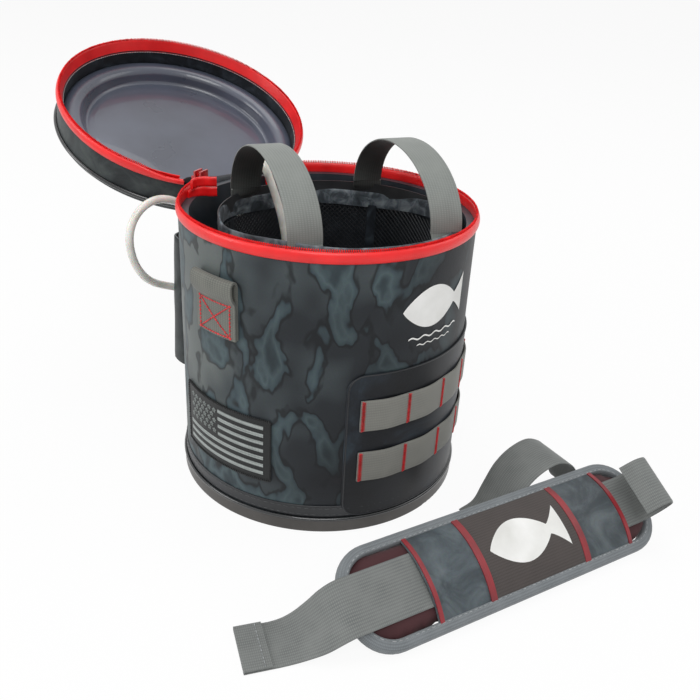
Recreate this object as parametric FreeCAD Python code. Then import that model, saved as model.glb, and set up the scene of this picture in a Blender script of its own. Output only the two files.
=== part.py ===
import FreeCAD, Part
import math
import os

# Insulated bait bucket: zipped soft bucket, lift-out net, air pump and shoulder strap.
# Millimetres, base centre at the origin, +Z up, the webbing rows face -Y.

V = FreeCAD.Vector
UP = V(0, 0, 1)
FULL_TURN = 360.0
HALF_TURN = 180.0
RIGHT_ANGLE = 90.0

# Wall and base of the bucket
BUCKET_RADIUS = 112.0
BUCKET_HEIGHT = 224.0
SHELL_WALL = 1.0
FOAM_WALL = 6.0
LINER_WALL = 1.0
BASE_FOAM = 8.0
TUB_WALL = 2.0
TUB_HEIGHT = 10.0
TUB_FLOOR = 2.5
TUB_ROUND = 1.2
BASE_WELT = 1.4

# Zip round the rim, one half on the bucket and one on the lid
ZIP_BAND = 10.0
ZIP_TAPE_WALL = 2.0
COIL_PROUD = 0.4
COIL_HEIGHT = 2.2
COIL_GAP = 0.15
RIM_ZIP_START_ANGLE = 105.0
RIM_ZIP_END_ANGLE = 429.5
LID_ZIP_START_ANGLE = 112.0
LID_ZIP_END_ANGLE = 423.0
NEAR_TAB_ANGLE = 118.0
NEAR_TAB_LENGTH = 18.0
NEAR_TAB_HEIGHT = 16.0
FAR_TAB_LENGTH = 12.0
FAR_TAB_HEIGHT = 11.0
TAB_WALL = 2.0
TAB_NECK = 4.8
TAB_SETBACK = 5.1

# Slider and its pull
SLIDER_PARK_ANGLE = 108.0
SLIDER_LENGTH = 11.0
SLIDER_HEIGHT = 9.0
SLIDER_PLATE = 1.4
SLIDER_ROOM = 0.4
SLIDER_INNER_ROOM = 0.6
BRIDGE_LENGTH = 4.0
BRIDGE_HEIGHT = 1.6
EAR_WALL = 1.2
EAR_SPREAD = 4.6
EAR_HEIGHT = 3.6
EAR_REACH = 3.4
PIN_RADIUS = 0.8
PIN_REACH = 2.2
PIN_DROP = 2.0
PULL_EYE = 1.8
PULL_BORE = 1.1
PULL_STEM = 4.0
PULL_WALL = 1.6
PULL_WIDTH = 8.0
PULL_STEM_LENGTH = 8.0
PULL_LENGTH = 20.0
PULL_CORNER = 2.0

# Lid, drawn shut and then laid open about its hinge strip
LID_HEIGHT = 42.0
LID_CORNER = 7.0
LID_FOAM = 4.0
LID_WALL_FOAM = 3.0
LID_STRIP = 17.0
LID_WELT = 1.8
LID_WELT_DROP = 9.0
LID_WELT_PROUD = 0.4
DISH_WALL = 2.5
DISH_RING = 18.0
DISH_RING_DROP = 5.0
DISH_GROOVE = 6.0
HINGE_ANGLE = 77.6
HINGE_OFFSET = 5.0
HINGE_DROP = 8.7
LID_OPEN_ANGLE = 156.75
STRIP_START_ANGLE = 70.0
STRIP_END_ANGLE = 104.0
STRIP_WALL = 1.2
STRIP_RISE = 4.0

# Front panel with two webbing rows
PANEL_START_ANGLE = -129.7
PANEL_END_ANGLE = -44.3
PANEL_LOW = 13.0
PANEL_HIGH = 133.0
PANEL_CORNER = 12.0
PANEL_WALL = 1.0
SEAM_GAP = 0.15
ROW_WIDTH = 25.0
ROW_WALL = 1.5
ROW_BULGE_HEIGHT = 1.8
ROW_LOW = 57.7
ROW_HIGH = 100.5
ROW_CENTRE_ANGLE = -87.2
ROW_PITCH_ANGLE = 18.3
ROW_END_ANGLE = 1.0
ROW_CELLS = 4
TACK_WIDTH = 2.4
TACK_HEIGHT = 24.0
TACK_PROUD = 0.8

# Strap loops and the flag patch
LOOP_ANGLES = (180.0, 0.0)
LOOP_WIDTH = 38.0
LOOP_DROP = 75.0
LOOP_SEWN = 27.0
LOOP_WALL = 1.6
LOOP_BACK = 1.8
LOOP_GAP = 4.6
LOOP_RISE = 13.0
STITCH_WIDTH = 30.0
STITCH_HEIGHT = 25.0
STITCH_BAR = 1.6
STITCH_PROUD = 0.5
PATCH_HALF_ANGLE = 22.8
PATCH_LOW = 40.0
PATCH_HIGH = 91.0
PATCH_WALL = 1.2

# Pocket for the air pump
POCKET_START_ANGLE = 62.0
POCKET_END_ANGLE = 118.0
POCKET_DROP = 50.0
POCKET_HEIGHT = 112.0
POCKET_FOOT_REACH = 25.0
POCKET_TOP_REACH = 20.0
POCKET_WALL = 1.2
POCKET_WALL_ANGLE = 0.55
POCKET_HEM = 8.0
POCKET_HEM_WALL = 0.8
POCKET_SLIT = 0.6

# Air pump in the pocket
PUMP_STANDOFF = 0.6
PUMP_DEPTH = 15.4
PUMP_BACK_DEPTH = 7.0
PUMP_WIDTH = 52.0
PUMP_HEIGHT = 86.0
PUMP_WALL = 1.4
PUMP_CORNER = 4.0
MOTOR_RADIUS = 5.0
MOTOR_LENGTH = 29.4
MOTOR_SIDE = 10.0
HEAD_DEPTH = 12.0
HEAD_WIDTH = 18.0
HEAD_HEIGHT = 14.0
CELL_DEPTH = 8.0
CELL_WIDTH = 18.0
CELL_HEIGHT = 51.0
CELL_SIDE = 13.0
SWITCH_RADIUS = 2.4
SWITCH_ROOM = 0.3
SWITCH_IN = 5.0
SWITCH_PROUD = 2.0
SWITCH_FLANGE = 3.2
SWITCH_FLANGE_WALL = 1.8

# Hose, its way through the wall and the air stone
HOSE_RADIUS = 3.2
PORT_ACROSS = 3.0
PORT_DROP = 32.0
PORT_RADIUS = 4.2
PORT_ROOM = 0.05
PORT_INSET = 6.0
PORT_PROUD = 6.5
PORT_RISE = 8.0
PORT_ARM = 12.0
PORT_FLANGE = 8.0
PORT_FLANGE_WALL = 2.1
NUT_WALL = 1.9
NUT_ROOM = 0.7
STONE_RADIUS = 8.0
STONE_LENGTH = 29.0
STONE_ROUND = 1.5
STONE_BACK = 38.0
BARB_LENGTH = 8.1

# Lift-out bait net
NET_GAP = 12.0
NET_ACROSS = 4.5
NET_AHEAD = 7.5
COLLAR_LAYER = 0.6
COLLAR_HEIGHT = 14.0
COLLAR_DROP = 11.0
STIFFENER_WALL = 0.8
NET_FLOOR_WALL = 1.6
NET_REST = 0.3
TAIL_WALL = 1.2
TAIL_HALF_ANGLE = 7.8
TAIL_RISE = 3.0

# Webbing handles of the net
HANDLE_WIDTH = 25.0
HANDLE_WALL = 1.6
FOOT_ROOM = 2.2
HANDLE_RISE = 48.5
HANDLE_OFFSET = 53.0
HANDLE_TURN_ANGLE = 63.0
FOLD_ROOM = 0.3

# Shoulder strap in front of the bucket, leaning on its own webbing
PAD_LENGTH = 263.0
PAD_WIDTH = 72.0
PAD_CORNER = 28.0
PAD_EDGE = 8.0
PAD_CROWN = 11.5
BINDING_WIDTH = 5.0
BINDING_HEIGHT = 9.0
BINDING_ROUND = 2.0
PAD_TURN_ANGLE = -19.6
PAD_TILT_ANGLE = 30.0
PAD_ACROSS = -25.0
PAD_AHEAD = 198.5
STRAP_WIDTH = 38.0
STRAP_WALL = 1.5
STRAP_LIFT = 0.1
STRAP_FLOOR_ROOM = 0.15
FREE_TURN_ANGLE = 13.0
SLEEVE_LENGTH = 176.0
SLEEVE_WIDTH = 60.0
SLEEVE_SHIFT = 11.5
SLEEVE_EDGE = 8.45
SLEEVE_CROWN = 16.6
SLEEVE_WALL = 1.2
TRIM_WIDTH = 4.0
TRIM_WALL = 0.5
TRIM_INSET = 0.9
TRIM_INNER = 42.7
PANEL_COVER_WALL = 0.4
HEM_LENGTH = 18.0
TAIL_ROOM = 0.3

# Cuts run this far past the faces that they go through
OVERRUN = 5.0
# Part of the shorter run that each bend of a route takes up
BEND_SHARE = 0.45
# Straight pieces in each run of an eased line
EASE_STEPS = 4

shell_inner = BUCKET_RADIUS - SHELL_WALL
foam_inner = shell_inner - FOAM_WALL
liner_inner = foam_inner - LINER_WALL
wall_top = BUCKET_HEIGHT - ZIP_BAND
flange_low = wall_top - LINER_WALL
shell_floor = TUB_FLOOR + SHELL_WALL
liner_low = shell_floor + BASE_FOAM
inside_floor = liner_low + LINER_WALL
port_height = BUCKET_HEIGHT - PORT_DROP
port_inner = liner_inner - PORT_INSET
port_outer = BUCKET_RADIUS + PORT_PROUD
loop_low = BUCKET_HEIGHT - LOOP_DROP
pocket_high = BUCKET_HEIGHT - POCKET_DROP
pocket_low = pocket_high - POCKET_HEIGHT
collar_outer = liner_inner - NET_GAP
collar_inner = collar_outer - 2 * COLLAR_LAYER - STIFFENER_WALL
foot_reach_in = collar_inner - FOOT_ROOM
half_span = math.sqrt(foot_reach_in ** 2 - HANDLE_OFFSET ** 2)
foot_angle = math.degrees(math.atan2(HANDLE_OFFSET, half_span))
pad_slope = math.radians(PAD_TILT_ANGLE)
pad_low_edge = PAD_WIDTH / 2 - BINDING_ROUND
pad_lift = pad_low_edge * math.sin(pad_slope) + BINDING_ROUND * (1 - math.cos(pad_slope))


def polar(radius, angle, height):
    turn = math.radians(angle)
    return V(radius * math.cos(turn), radius * math.sin(turn), height)


def turned(shape, angle):
    return shape.rotated(V(0, 0, 0), UP, angle)


def disc(radius, low, high):
    return Part.makeCylinder(radius, high - low, V(0, 0, low))


def ring(inner, outer, low, high, start=0.0, end=FULL_TURN):
    whole = Part.makeCylinder(outer, high - low, V(0, 0, low), UP, end - start)
    return turned(whole.cut(disc(inner, low - OVERRUN, high + OVERRUN)), start)


def box(x_low, x_high, y_low, y_high, z_low, z_high):
    return Part.makeBox(x_high - x_low, y_high - y_low, z_high - z_low, V(x_low, y_low, z_low))


def line(start, end):
    return Part.makeLine(start, end)


def arc(start, middle, end):
    return Part.Arc(start, middle, end).toShape()


def at(radius, height):
    return V(radius, 0, height)


def lathe(edges):
    face = Part.Face(Part.Wire(edges))
    return face.revolve(V(0, 0, 0), UP, FULL_TURN)


def slab(edges, width):
    # A face in the XZ plane, given a width centred on Y
    face = Part.Face(Part.Wire(edges))
    return face.extrude(V(0, width, 0)).translated(V(0, -width / 2, 0))


def polygon(points):
    return [line(a, b) for a, b in zip(points, points[1:] + points[:1])]


def bent_route(points):
    # Straight runs joined by tangent arcs
    edges = []
    radii = []
    start = points[0]
    for before, corner, after in zip(points, points[1:], points[2:]):
        back = before - corner
        ahead = after - corner
        reach = BEND_SHARE * min(back.Length, ahead.Length)
        half_bend = (math.pi - back.getAngle(ahead)) / 2
        radius = reach / math.tan(half_bend)
        back.normalize()
        ahead.normalize()
        inward = back + ahead
        inward.normalize()
        enter = corner + back * reach
        leave = corner + ahead * reach
        middle = corner + inward * (radius / math.cos(half_bend) - radius)
        edges.append(line(start, enter))
        edges.append(arc(enter, middle, leave))
        radii.append(radius)
        start = leave
    edges.append(line(start, points[-1]))
    return Part.Wire(edges), radii


def tube(points, radius):
    path, radii = bent_route(points)
    circle = Part.Wire([Part.makeCircle(radius, points[0], points[1] - points[0])])
    return path.makePipeShell([circle], True, False), path, radii


def hose(name, route, radius):
    solid, path, radii = tube([V(*place) for place in route], radius)
    share = solid.Volume / (math.pi * radius ** 2 * path.Length)
    print(name, "length", round(path.Length, 1), "volume share", round(share, 3))
    print(name, "least bend in diameters", round(min(radii) / (2 * radius), 2))
    return solid


def ribbon(points, width, wall):
    # Flat webbing that bends in the XZ plane
    path, radii = bent_route(points)
    ahead = points[1] - points[0]
    ahead.normalize()
    side = V(0, width / 2, 0)
    rise = V(-ahead.z, 0, ahead.x) * (wall / 2)
    corners = [-side - rise, side - rise, side + rise, rise - side]
    section = Part.Wire(polygon([points[0] + corner for corner in corners]))
    return path.makePipeShell([section], True, False)


def rounded_slab(length, width, corner, low, high):
    plain = box(-length / 2, length / 2, -width / 2, width / 2, low, high)
    upright = [e for e in plain.Edges if abs(e.tangentAt(e.FirstParameter).z) == 1]
    return plain.makeFillet(corner, upright)


def arch_face(half, edge_low, crown_low, wall):
    # Bowed cover in the YZ plane
    low = arc(V(0, -half, edge_low), V(0, 0, crown_low), V(0, half, edge_low))
    high = arc(V(0, half, edge_low + wall), V(0, 0, crown_low + wall), V(0, -half, edge_low + wall))
    right = line(V(0, half, edge_low), V(0, half, edge_low + wall))
    left = line(V(0, -half, edge_low + wall), V(0, -half, edge_low))
    return Part.Face(Part.Wire([low, right, high, left]))


def arch(half, edge_low, crown_low, wall, start, end):
    face = arch_face(half, edge_low, crown_low, wall)
    return face.extrude(V(end - start, 0, 0)).translated(V(start, 0, 0))


def opened(shape):
    hinge = polar(BUCKET_RADIUS + HINGE_OFFSET, HINGE_ANGLE, BUCKET_HEIGHT - HINGE_DROP)
    return shape.rotated(hinge, polar(1, HINGE_ANGLE + RIGHT_ANGLE, 0), LID_OPEN_ANGLE)


def on_floor(shape):
    return turned(shape, PAD_TURN_ANGLE).translated(V(PAD_ACROSS, -PAD_AHEAD, 0))


def leant(shape):
    # Tilted on the front edge of the pad, which stands on the floor
    tilted = shape.rotated(V(0, 0, 0), V(1, 0, 0), PAD_TILT_ANGLE)
    return on_floor(tilted.translated(V(0, 0, pad_lift)))


def eased(points):
    # Smooth line through a few points
    ends = [points[0] * 2 - points[1]] + points + [points[-1] * 2 - points[-2]]
    smooth = []
    for a, b, c, d in zip(ends, ends[1:], ends[2:], ends[3:]):
        for step in range(EASE_STEPS):
            t = step / EASE_STEPS
            bend = (a * 2 - b * 5 + c * 4 - d) * t ** 2 + (b * 3 - a - c * 3 + d) * t ** 3
            smooth.append(b + ((c - a) * t + bend) / 2)
    return smooth + [points[-1]]


def twisted_band(centres, acrosses, width, wall):
    # Flat webbing whose width turns along its length
    sections = []
    befores = centres[:1] + centres
    afters = centres[1:] + centres[-1:]
    for before, centre, after, across in zip(befores, centres, afters, acrosses):
        rise = (after - before).cross(across)
        rise.normalize()
        rise = rise * (wall / 2)
        side = across * (width / 2)
        corners = [centre - side - rise, centre + side - rise, centre + side + rise, centre - side + rise]
        sections.append(Part.Wire(polygon(corners)))
    return Part.makeLoft(sections, True, True)


def save(name, shape):
    if not shape.isValid():
        print("not valid", name)
    if shape.Volume <= 0:
        print("no volume", name)
    shape.exportStep("parts/" + name + ".step")


os.makedirs("parts", exist_ok=True)

# Base tub with its welt
tub = disc(BUCKET_RADIUS + TUB_WALL, 0, TUB_HEIGHT)
tub = tub.cut(disc(BUCKET_RADIUS, TUB_FLOOR, TUB_HEIGHT + OVERRUN))
floor_edges = [e for e in tub.Edges if e.BoundBox.ZMax < TUB_ROUND and e.BoundBox.XLength > BUCKET_RADIUS]
save("base_tub", tub.makeFillet(TUB_ROUND, floor_edges))
save("base_welt", Part.makeTorus(BUCKET_RADIUS + BASE_WELT, BASE_WELT, V(0, 0, TUB_HEIGHT + BASE_WELT)))

# Wall of the bucket, with the hose hole through its layers
hole_start = V(PORT_ACROSS, port_inner, port_height)
port_hole = Part.makeCylinder(PORT_RADIUS + PORT_ROOM, BUCKET_RADIUS, hole_start, V(0, 1, 0))
shell = disc(BUCKET_RADIUS, TUB_FLOOR, wall_top).cut(disc(shell_inner, shell_floor, wall_top + OVERRUN))
save("outer_shell", shell.cut(port_hole))
save("foam_sleeve", ring(foam_inner, shell_inner, shell_floor, flange_low).cut(port_hole))
save("base_foam", disc(foam_inner, shell_floor, liner_low))
liner = disc(foam_inner, liner_low, wall_top).fuse(ring(liner_inner, shell_inner, flange_low, wall_top))
liner = liner.cut(disc(liner_inner, inside_floor, wall_top + OVERRUN))
save("inner_liner", liner.cut(port_hole))

# Zip halves: both are the same band, one above the other
tape_inner = BUCKET_RADIUS - ZIP_TAPE_WALL
coil_inner = tape_inner - COIL_PROUD
coil_outer = BUCKET_RADIUS + COIL_PROUD
rim_coil_high = BUCKET_HEIGHT - COIL_GAP
rim_coil_low = rim_coil_high - COIL_HEIGHT
lid_coil_low = BUCKET_HEIGHT + COIL_GAP
lid_coil_high = lid_coil_low + COIL_HEIGHT
lid_low = BUCKET_HEIGHT + ZIP_BAND
rim_start = RIM_ZIP_START_ANGLE
rim_end = RIM_ZIP_END_ANGLE
save("rim_zip_tape", ring(tape_inner, BUCKET_RADIUS, wall_top, rim_coil_low, rim_start, rim_end))
save("rim_zip_coil", ring(coil_inner, coil_outer, rim_coil_low, rim_coil_high, rim_start, rim_end))
lid_tape = ring(tape_inner, BUCKET_RADIUS, lid_coil_high, lid_low, LID_ZIP_START_ANGLE, LID_ZIP_END_ANGLE)
lid_coil = ring(coil_inner, coil_outer, lid_coil_low, lid_coil_high, LID_ZIP_START_ANGLE, LID_ZIP_END_ANGLE)
save("lid_zip_tape", opened(lid_tape))
save("lid_zip_coil", opened(lid_coil))

# Tape ends turned in over the rim
tab_outer = BUCKET_RADIUS - TAB_SETBACK
neck = box(tab_outer, tape_inner, 0, TAB_WALL, wall_top, wall_top + TAB_NECK)
near_tab = box(tab_outer - NEAR_TAB_LENGTH, tab_outer, 0, TAB_WALL, wall_top, wall_top + NEAR_TAB_HEIGHT)
far_tab = box(tab_outer - FAR_TAB_LENGTH, tab_outer, 0, TAB_WALL, wall_top, wall_top + FAR_TAB_HEIGHT)
near_tab = turned(near_tab.fuse(neck).removeSplitter(), NEAR_TAB_ANGLE)
far_tab = turned(far_tab.fuse(neck).removeSplitter().translated(V(0, -TAB_WALL, 0)), RIM_ZIP_END_ANGLE)
save("zip_end_tabs", Part.makeCompound([near_tab, far_tab]))

# Slider: two plates, the bridge between them and the ears that hold the pull
slider_low = BUCKET_HEIGHT - SLIDER_HEIGHT / 2
slider_high = BUCKET_HEIGHT + SLIDER_HEIGHT / 2
half_slider = SLIDER_LENGTH / 2
front_plate = coil_outer + SLIDER_ROOM
front_face = front_plate + SLIDER_PLATE
back_plate = coil_inner - SLIDER_INNER_ROOM
back_face = back_plate - SLIDER_PLATE
slider = box(front_plate, front_face, -half_slider, half_slider, slider_low, slider_high)
slider = slider.fuse(box(back_face, back_plate, -half_slider, half_slider, slider_low, slider_high))
half_bridge = BRIDGE_LENGTH / 2
bridge_high = lid_coil_low + BRIDGE_HEIGHT
slider = slider.fuse(box(back_plate, front_plate, -half_bridge, half_bridge, lid_coil_low, bridge_high))
pin_height = BUCKET_HEIGHT - PIN_DROP
pin_reach = front_face + PIN_REACH
ear_low = pin_height - EAR_HEIGHT / 2
ear_high = pin_height + EAR_HEIGHT / 2
half_spread = EAR_SPREAD / 2
ear_side = half_spread + EAR_WALL
slider = slider.fuse(box(front_face, front_face + EAR_REACH, half_spread, ear_side, ear_low, ear_high))
slider = slider.fuse(box(front_face, front_face + EAR_REACH, -ear_side, -half_spread, ear_low, ear_high))
pin = Part.makeCylinder(PIN_RADIUS, 2 * ear_side, V(pin_reach, -ear_side, pin_height), V(0, 1, 0))
save("slider_body", turned(slider.fuse(pin).removeSplitter(), SLIDER_PARK_ANGLE))
half_stem = PULL_STEM / 2
half_pull = PULL_WIDTH / 2
half_wall = PULL_WALL / 2
stem_low = pin_height - PULL_STEM_LENGTH
pull_low = pin_height - PULL_LENGTH
grip = box(pin_reach - half_wall, pin_reach + half_wall, -half_pull, half_pull, pull_low, stem_low)
grip = grip.makeFillet(PULL_CORNER, [e for e in grip.Edges if abs(e.tangentAt(e.FirstParameter).x) == 1])
stem = box(pin_reach - half_wall, pin_reach + half_wall, -half_stem, half_stem, stem_low, pin_height)
eye = Part.makeCylinder(PULL_EYE, PULL_STEM, V(pin_reach, -half_stem, pin_height), V(0, 1, 0))
bore = Part.makeCylinder(PULL_BORE, 2 * PULL_STEM, V(pin_reach, -PULL_STEM, pin_height), V(0, 1, 0))
pull = eye.fuse(stem).fuse(grip).cut(bore)
save("slider_pull", turned(pull.removeSplitter(), SLIDER_PARK_ANGLE))

# Lid, from the skin inwards
lid_top = BUCKET_HEIGHT + LID_HEIGHT
lid_foam_high = lid_top - SHELL_WALL
lid_foam_low = lid_foam_high - LID_FOAM
strip_outer = shell_inner - LID_WALL_FOAM
strip_inner = strip_outer - LINER_WALL
strip_high = lid_low + LID_STRIP
corner_mid_share = math.sin(math.radians(RIGHT_ANGLE / 2))
corner_low = lid_top - LID_CORNER
corner_in = BUCKET_RADIUS - LID_CORNER
outer_mid = at(corner_in + LID_CORNER * corner_mid_share, corner_low + LID_CORNER * corner_mid_share)
inner_corner = LID_CORNER - SHELL_WALL
inner_mid = at(corner_in + inner_corner * corner_mid_share, corner_low + inner_corner * corner_mid_share)
outer_arc = arc(at(corner_in, lid_top), outer_mid, at(BUCKET_RADIUS, corner_low))
inner_arc = arc(at(shell_inner, corner_low), inner_mid, at(corner_in, lid_foam_high))
skin_edges = [
    line(at(0, lid_top), at(corner_in, lid_top)),
    outer_arc,
    line(at(BUCKET_RADIUS, corner_low), at(BUCKET_RADIUS, lid_low)),
    line(at(BUCKET_RADIUS, lid_low), at(shell_inner, lid_low)),
    line(at(shell_inner, lid_low), at(shell_inner, corner_low)),
    inner_arc,
    line(at(corner_in, lid_foam_high), at(0, lid_foam_high)),
    line(at(0, lid_foam_high), at(0, lid_top)),
]
save("lid_skin", opened(lathe(skin_edges)))
strip_low = lid_low + LINER_WALL
foam_edges = [
    inner_arc,
    line(at(corner_in, lid_foam_high), at(0, lid_foam_high)),
    line(at(0, lid_foam_high), at(0, lid_foam_low)),
    line(at(0, lid_foam_low), at(strip_outer, lid_foam_low)),
    line(at(strip_outer, lid_foam_low), at(strip_outer, strip_low)),
    line(at(strip_outer, strip_low), at(shell_inner, strip_low)),
    line(at(shell_inner, strip_low), at(shell_inner, corner_low)),
]
save("lid_foam", opened(lathe(foam_edges)))
wall_liner = ring(strip_inner, strip_outer, lid_low, strip_high)
wall_liner = wall_liner.fuse(ring(strip_inner, shell_inner, lid_low, strip_low))
save("lid_wall_liner", opened(wall_liner.removeSplitter()))
ring_in = strip_inner - DISH_RING
floor_reach = ring_in - DISH_GROOVE
dish_floor = lid_foam_low - DISH_WALL
ring_mid = at(strip_inner - DISH_RING / 2, strip_high - DISH_RING_DROP)
dish_edges = [
    line(at(0, lid_foam_low), at(strip_outer, lid_foam_low)),
    line(at(strip_outer, lid_foam_low), at(strip_outer, strip_high)),
    line(at(strip_outer, strip_high), at(strip_inner, strip_high)),
    arc(at(strip_inner, strip_high), ring_mid, at(ring_in, strip_high)),
    line(at(ring_in, strip_high), at(floor_reach, dish_floor)),
    line(at(floor_reach, dish_floor), at(0, dish_floor)),
    line(at(0, dish_floor), at(0, lid_foam_low)),
]
save("lid_dish", opened(lathe(dish_edges)))
welt_ring = Part.makeTorus(BUCKET_RADIUS + LID_WELT_PROUD, LID_WELT, V(0, 0, lid_top - LID_WELT_DROP))
welt_ring = welt_ring.cut(disc(BUCKET_RADIUS, BUCKET_HEIGHT, lid_top))
save("lid_welt", opened(welt_ring))


def strip_wire(height):
    low_inner = polar(tape_inner - STRIP_WALL / 2, STRIP_START_ANGLE, height)
    mid_inner = polar(tape_inner - STRIP_WALL / 2, (STRIP_START_ANGLE + STRIP_END_ANGLE) / 2, height)
    high_inner = polar(tape_inner - STRIP_WALL / 2, STRIP_END_ANGLE, height)
    low_outer = polar(tape_inner + STRIP_WALL / 2, STRIP_START_ANGLE, height)
    mid_outer = polar(tape_inner + STRIP_WALL / 2, (STRIP_START_ANGLE + STRIP_END_ANGLE) / 2, height)
    high_outer = polar(tape_inner + STRIP_WALL / 2, STRIP_END_ANGLE, height)
    edges = [
        arc(low_inner, mid_inner, high_inner),
        line(high_inner, high_outer),
        arc(high_outer, mid_outer, low_outer),
        line(low_outer, low_inner),
    ]
    return Part.Wire(edges)


# Fabric strip that the lid hinges on
strip_wires = [strip_wire(wall_top), strip_wire(wall_top + STRIP_RISE), opened(strip_wire(lid_low))]
save("hinge_strip", Part.makeLoft(strip_wires, True, True))

# Front panel
panel_outer = BUCKET_RADIUS + PANEL_WALL
panel_centre = (PANEL_START_ANGLE + PANEL_END_ANGLE) / 2
panel_reach = panel_outer * math.sin(math.radians((PANEL_END_ANGLE - PANEL_START_ANGLE) / 2))
cutter = box(0, panel_outer + OVERRUN, -panel_reach, panel_reach, PANEL_LOW, PANEL_HIGH)
cutter_edges = [e for e in cutter.Edges if abs(e.tangentAt(e.FirstParameter).x) == 1]
cutter = cutter.makeFillet(PANEL_CORNER, cutter_edges)
panel = ring(BUCKET_RADIUS + SEAM_GAP, panel_outer, PANEL_LOW, PANEL_HIGH)
save("front_panel", panel.common(turned(cutter, panel_centre)))

# Webbing rows, held at each tack and standing off between them
row_angles = [ROW_CENTRE_ANGLE + ROW_PITCH_ANGLE * (step - ROW_CELLS / 2) for step in range(ROW_CELLS + 1)]


def row_edge(radius):
    edges = [line(polar(radius, row_angles[0] - ROW_END_ANGLE, 0), polar(radius, row_angles[0], 0))]
    for start, end in zip(row_angles, row_angles[1:]):
        middle = polar(radius + ROW_BULGE_HEIGHT, (start + end) / 2, 0)
        edges.append(arc(polar(radius, start, 0), middle, polar(radius, end, 0)))
    edges.append(line(polar(radius, row_angles[-1], 0), polar(radius, row_angles[-1] + ROW_END_ANGLE, 0)))
    return edges


row_outer = panel_outer + ROW_WALL
row_ends = [
    line(polar(panel_outer, angle, 0), polar(row_outer, angle, 0))
    for angle in (row_angles[0] - ROW_END_ANGLE, row_angles[-1] + ROW_END_ANGLE)
]
row_wire = Part.Wire(Part.__sortEdges__(row_edge(panel_outer) + row_edge(row_outer) + row_ends))
row = Part.Face(row_wire).extrude(V(0, 0, ROW_WIDTH))
row = row.cut(disc(panel_outer, -OVERRUN, ROW_WIDTH + OVERRUN))
row_upper = row.translated(V(0, 0, ROW_HIGH - ROW_WIDTH / 2))
row_lower = row.translated(V(0, 0, ROW_LOW - ROW_WIDTH / 2))
save("webbing_row_upper", row_upper)
save("webbing_row_lower", row_lower)
tacks = []
for height in (ROW_HIGH, ROW_LOW):
    for angle in row_angles:
        low = height - TACK_HEIGHT / 2
        high = height + TACK_HEIGHT / 2
        tack = box(panel_outer, row_outer + TACK_PROUD, -TACK_WIDTH / 2, TACK_WIDTH / 2, low, high)
        tack = turned(tack, angle).cut(row_upper).cut(row_lower)
        tacks.append(max(tack.Solids, key=lambda solid: solid.CenterOfMass.Length))
save("row_bartacks", Part.makeCompound(tacks))

# Strap loop: webbing sewn down flat, with a lug that stands off above it
loop_sewn_high = loop_low + LOOP_SEWN
loop_inside = BUCKET_RADIUS + LOOP_BACK
loop_front = loop_inside + LOOP_WALL
lug_inner = loop_inside + LOOP_GAP
lug_outer = lug_inner + LOOP_WALL
lug_low = loop_sewn_high + LOOP_GAP
lug_high = loop_sewn_high + LOOP_RISE
lug_radius = LOOP_GAP / 2 + LOOP_WALL
lug_centre = loop_inside + LOOP_GAP / 2
loop_back = lug_centre - lug_radius
loop_edges = [
    line(at(shell_inner - SHELL_WALL, loop_low), at(loop_front, loop_low)),
    line(at(loop_front, loop_low), at(loop_front, loop_sewn_high)),
    line(at(loop_front, loop_sewn_high), at(lug_outer, lug_low)),
    line(at(lug_outer, lug_low), at(lug_outer, lug_high)),
    arc(at(lug_outer, lug_high), at(lug_centre, lug_high + lug_radius), at(loop_back, lug_high)),
    line(at(loop_back, lug_high), at(shell_inner - SHELL_WALL, lug_high)),
    line(at(shell_inner - SHELL_WALL, lug_high), at(shell_inner - SHELL_WALL, loop_low)),
]
hole_low = loop_sewn_high + LOOP_WALL
hole_edges = [
    line(at(loop_inside, hole_low), at(lug_inner, hole_low + LOOP_GAP)),
    line(at(lug_inner, hole_low + LOOP_GAP), at(lug_inner, lug_high)),
    arc(at(lug_inner, lug_high), at(lug_centre, lug_high + LOOP_GAP / 2), at(loop_inside, lug_high)),
    line(at(loop_inside, lug_high), at(loop_inside, hole_low)),
]
loop = slab(loop_edges, LOOP_WIDTH).cut(slab(hole_edges, LOOP_WIDTH + OVERRUN))
loop = loop.cut(disc(BUCKET_RADIUS, 0, BUCKET_HEIGHT))
half_height = STITCH_HEIGHT / 2
half_width = STITCH_WIDTH / 2
stitch_outer = box(0, STITCH_PROUD, -half_width, half_width, -half_height, half_height)
inset_width = half_width - STITCH_BAR
inset_height = half_height - STITCH_BAR
frame = stitch_outer.cut(box(-OVERRUN, OVERRUN, -inset_width, inset_width, -inset_height, inset_height))
slant = math.degrees(math.atan2(STITCH_HEIGHT, STITCH_WIDTH))
bar = box(0, STITCH_PROUD, -STITCH_WIDTH, STITCH_WIDTH, -STITCH_BAR / 2, STITCH_BAR / 2)
for lean in (slant, -slant):
    frame = frame.fuse(bar.rotated(V(0, 0, 0), V(1, 0, 0), lean).common(stitch_outer))
stitching = frame.removeSplitter().translated(at(loop_front, loop_low + LOOP_SEWN / 2))
save("strap_loop_left", turned(loop, LOOP_ANGLES[0]))
save("strap_loop_right", turned(loop, LOOP_ANGLES[1]))
save("loop_stitching", Part.makeCompound([turned(stitching, angle) for angle in LOOP_ANGLES]))
patch_start = HALF_TURN - PATCH_HALF_ANGLE
patch_end = HALF_TURN + PATCH_HALF_ANGLE
patch_outer = BUCKET_RADIUS + PATCH_WALL
patch_inner = BUCKET_RADIUS + SEAM_GAP
save("flag_patch", ring(patch_inner, patch_outer, PATCH_LOW, PATCH_HIGH, patch_start, patch_end))

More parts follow.
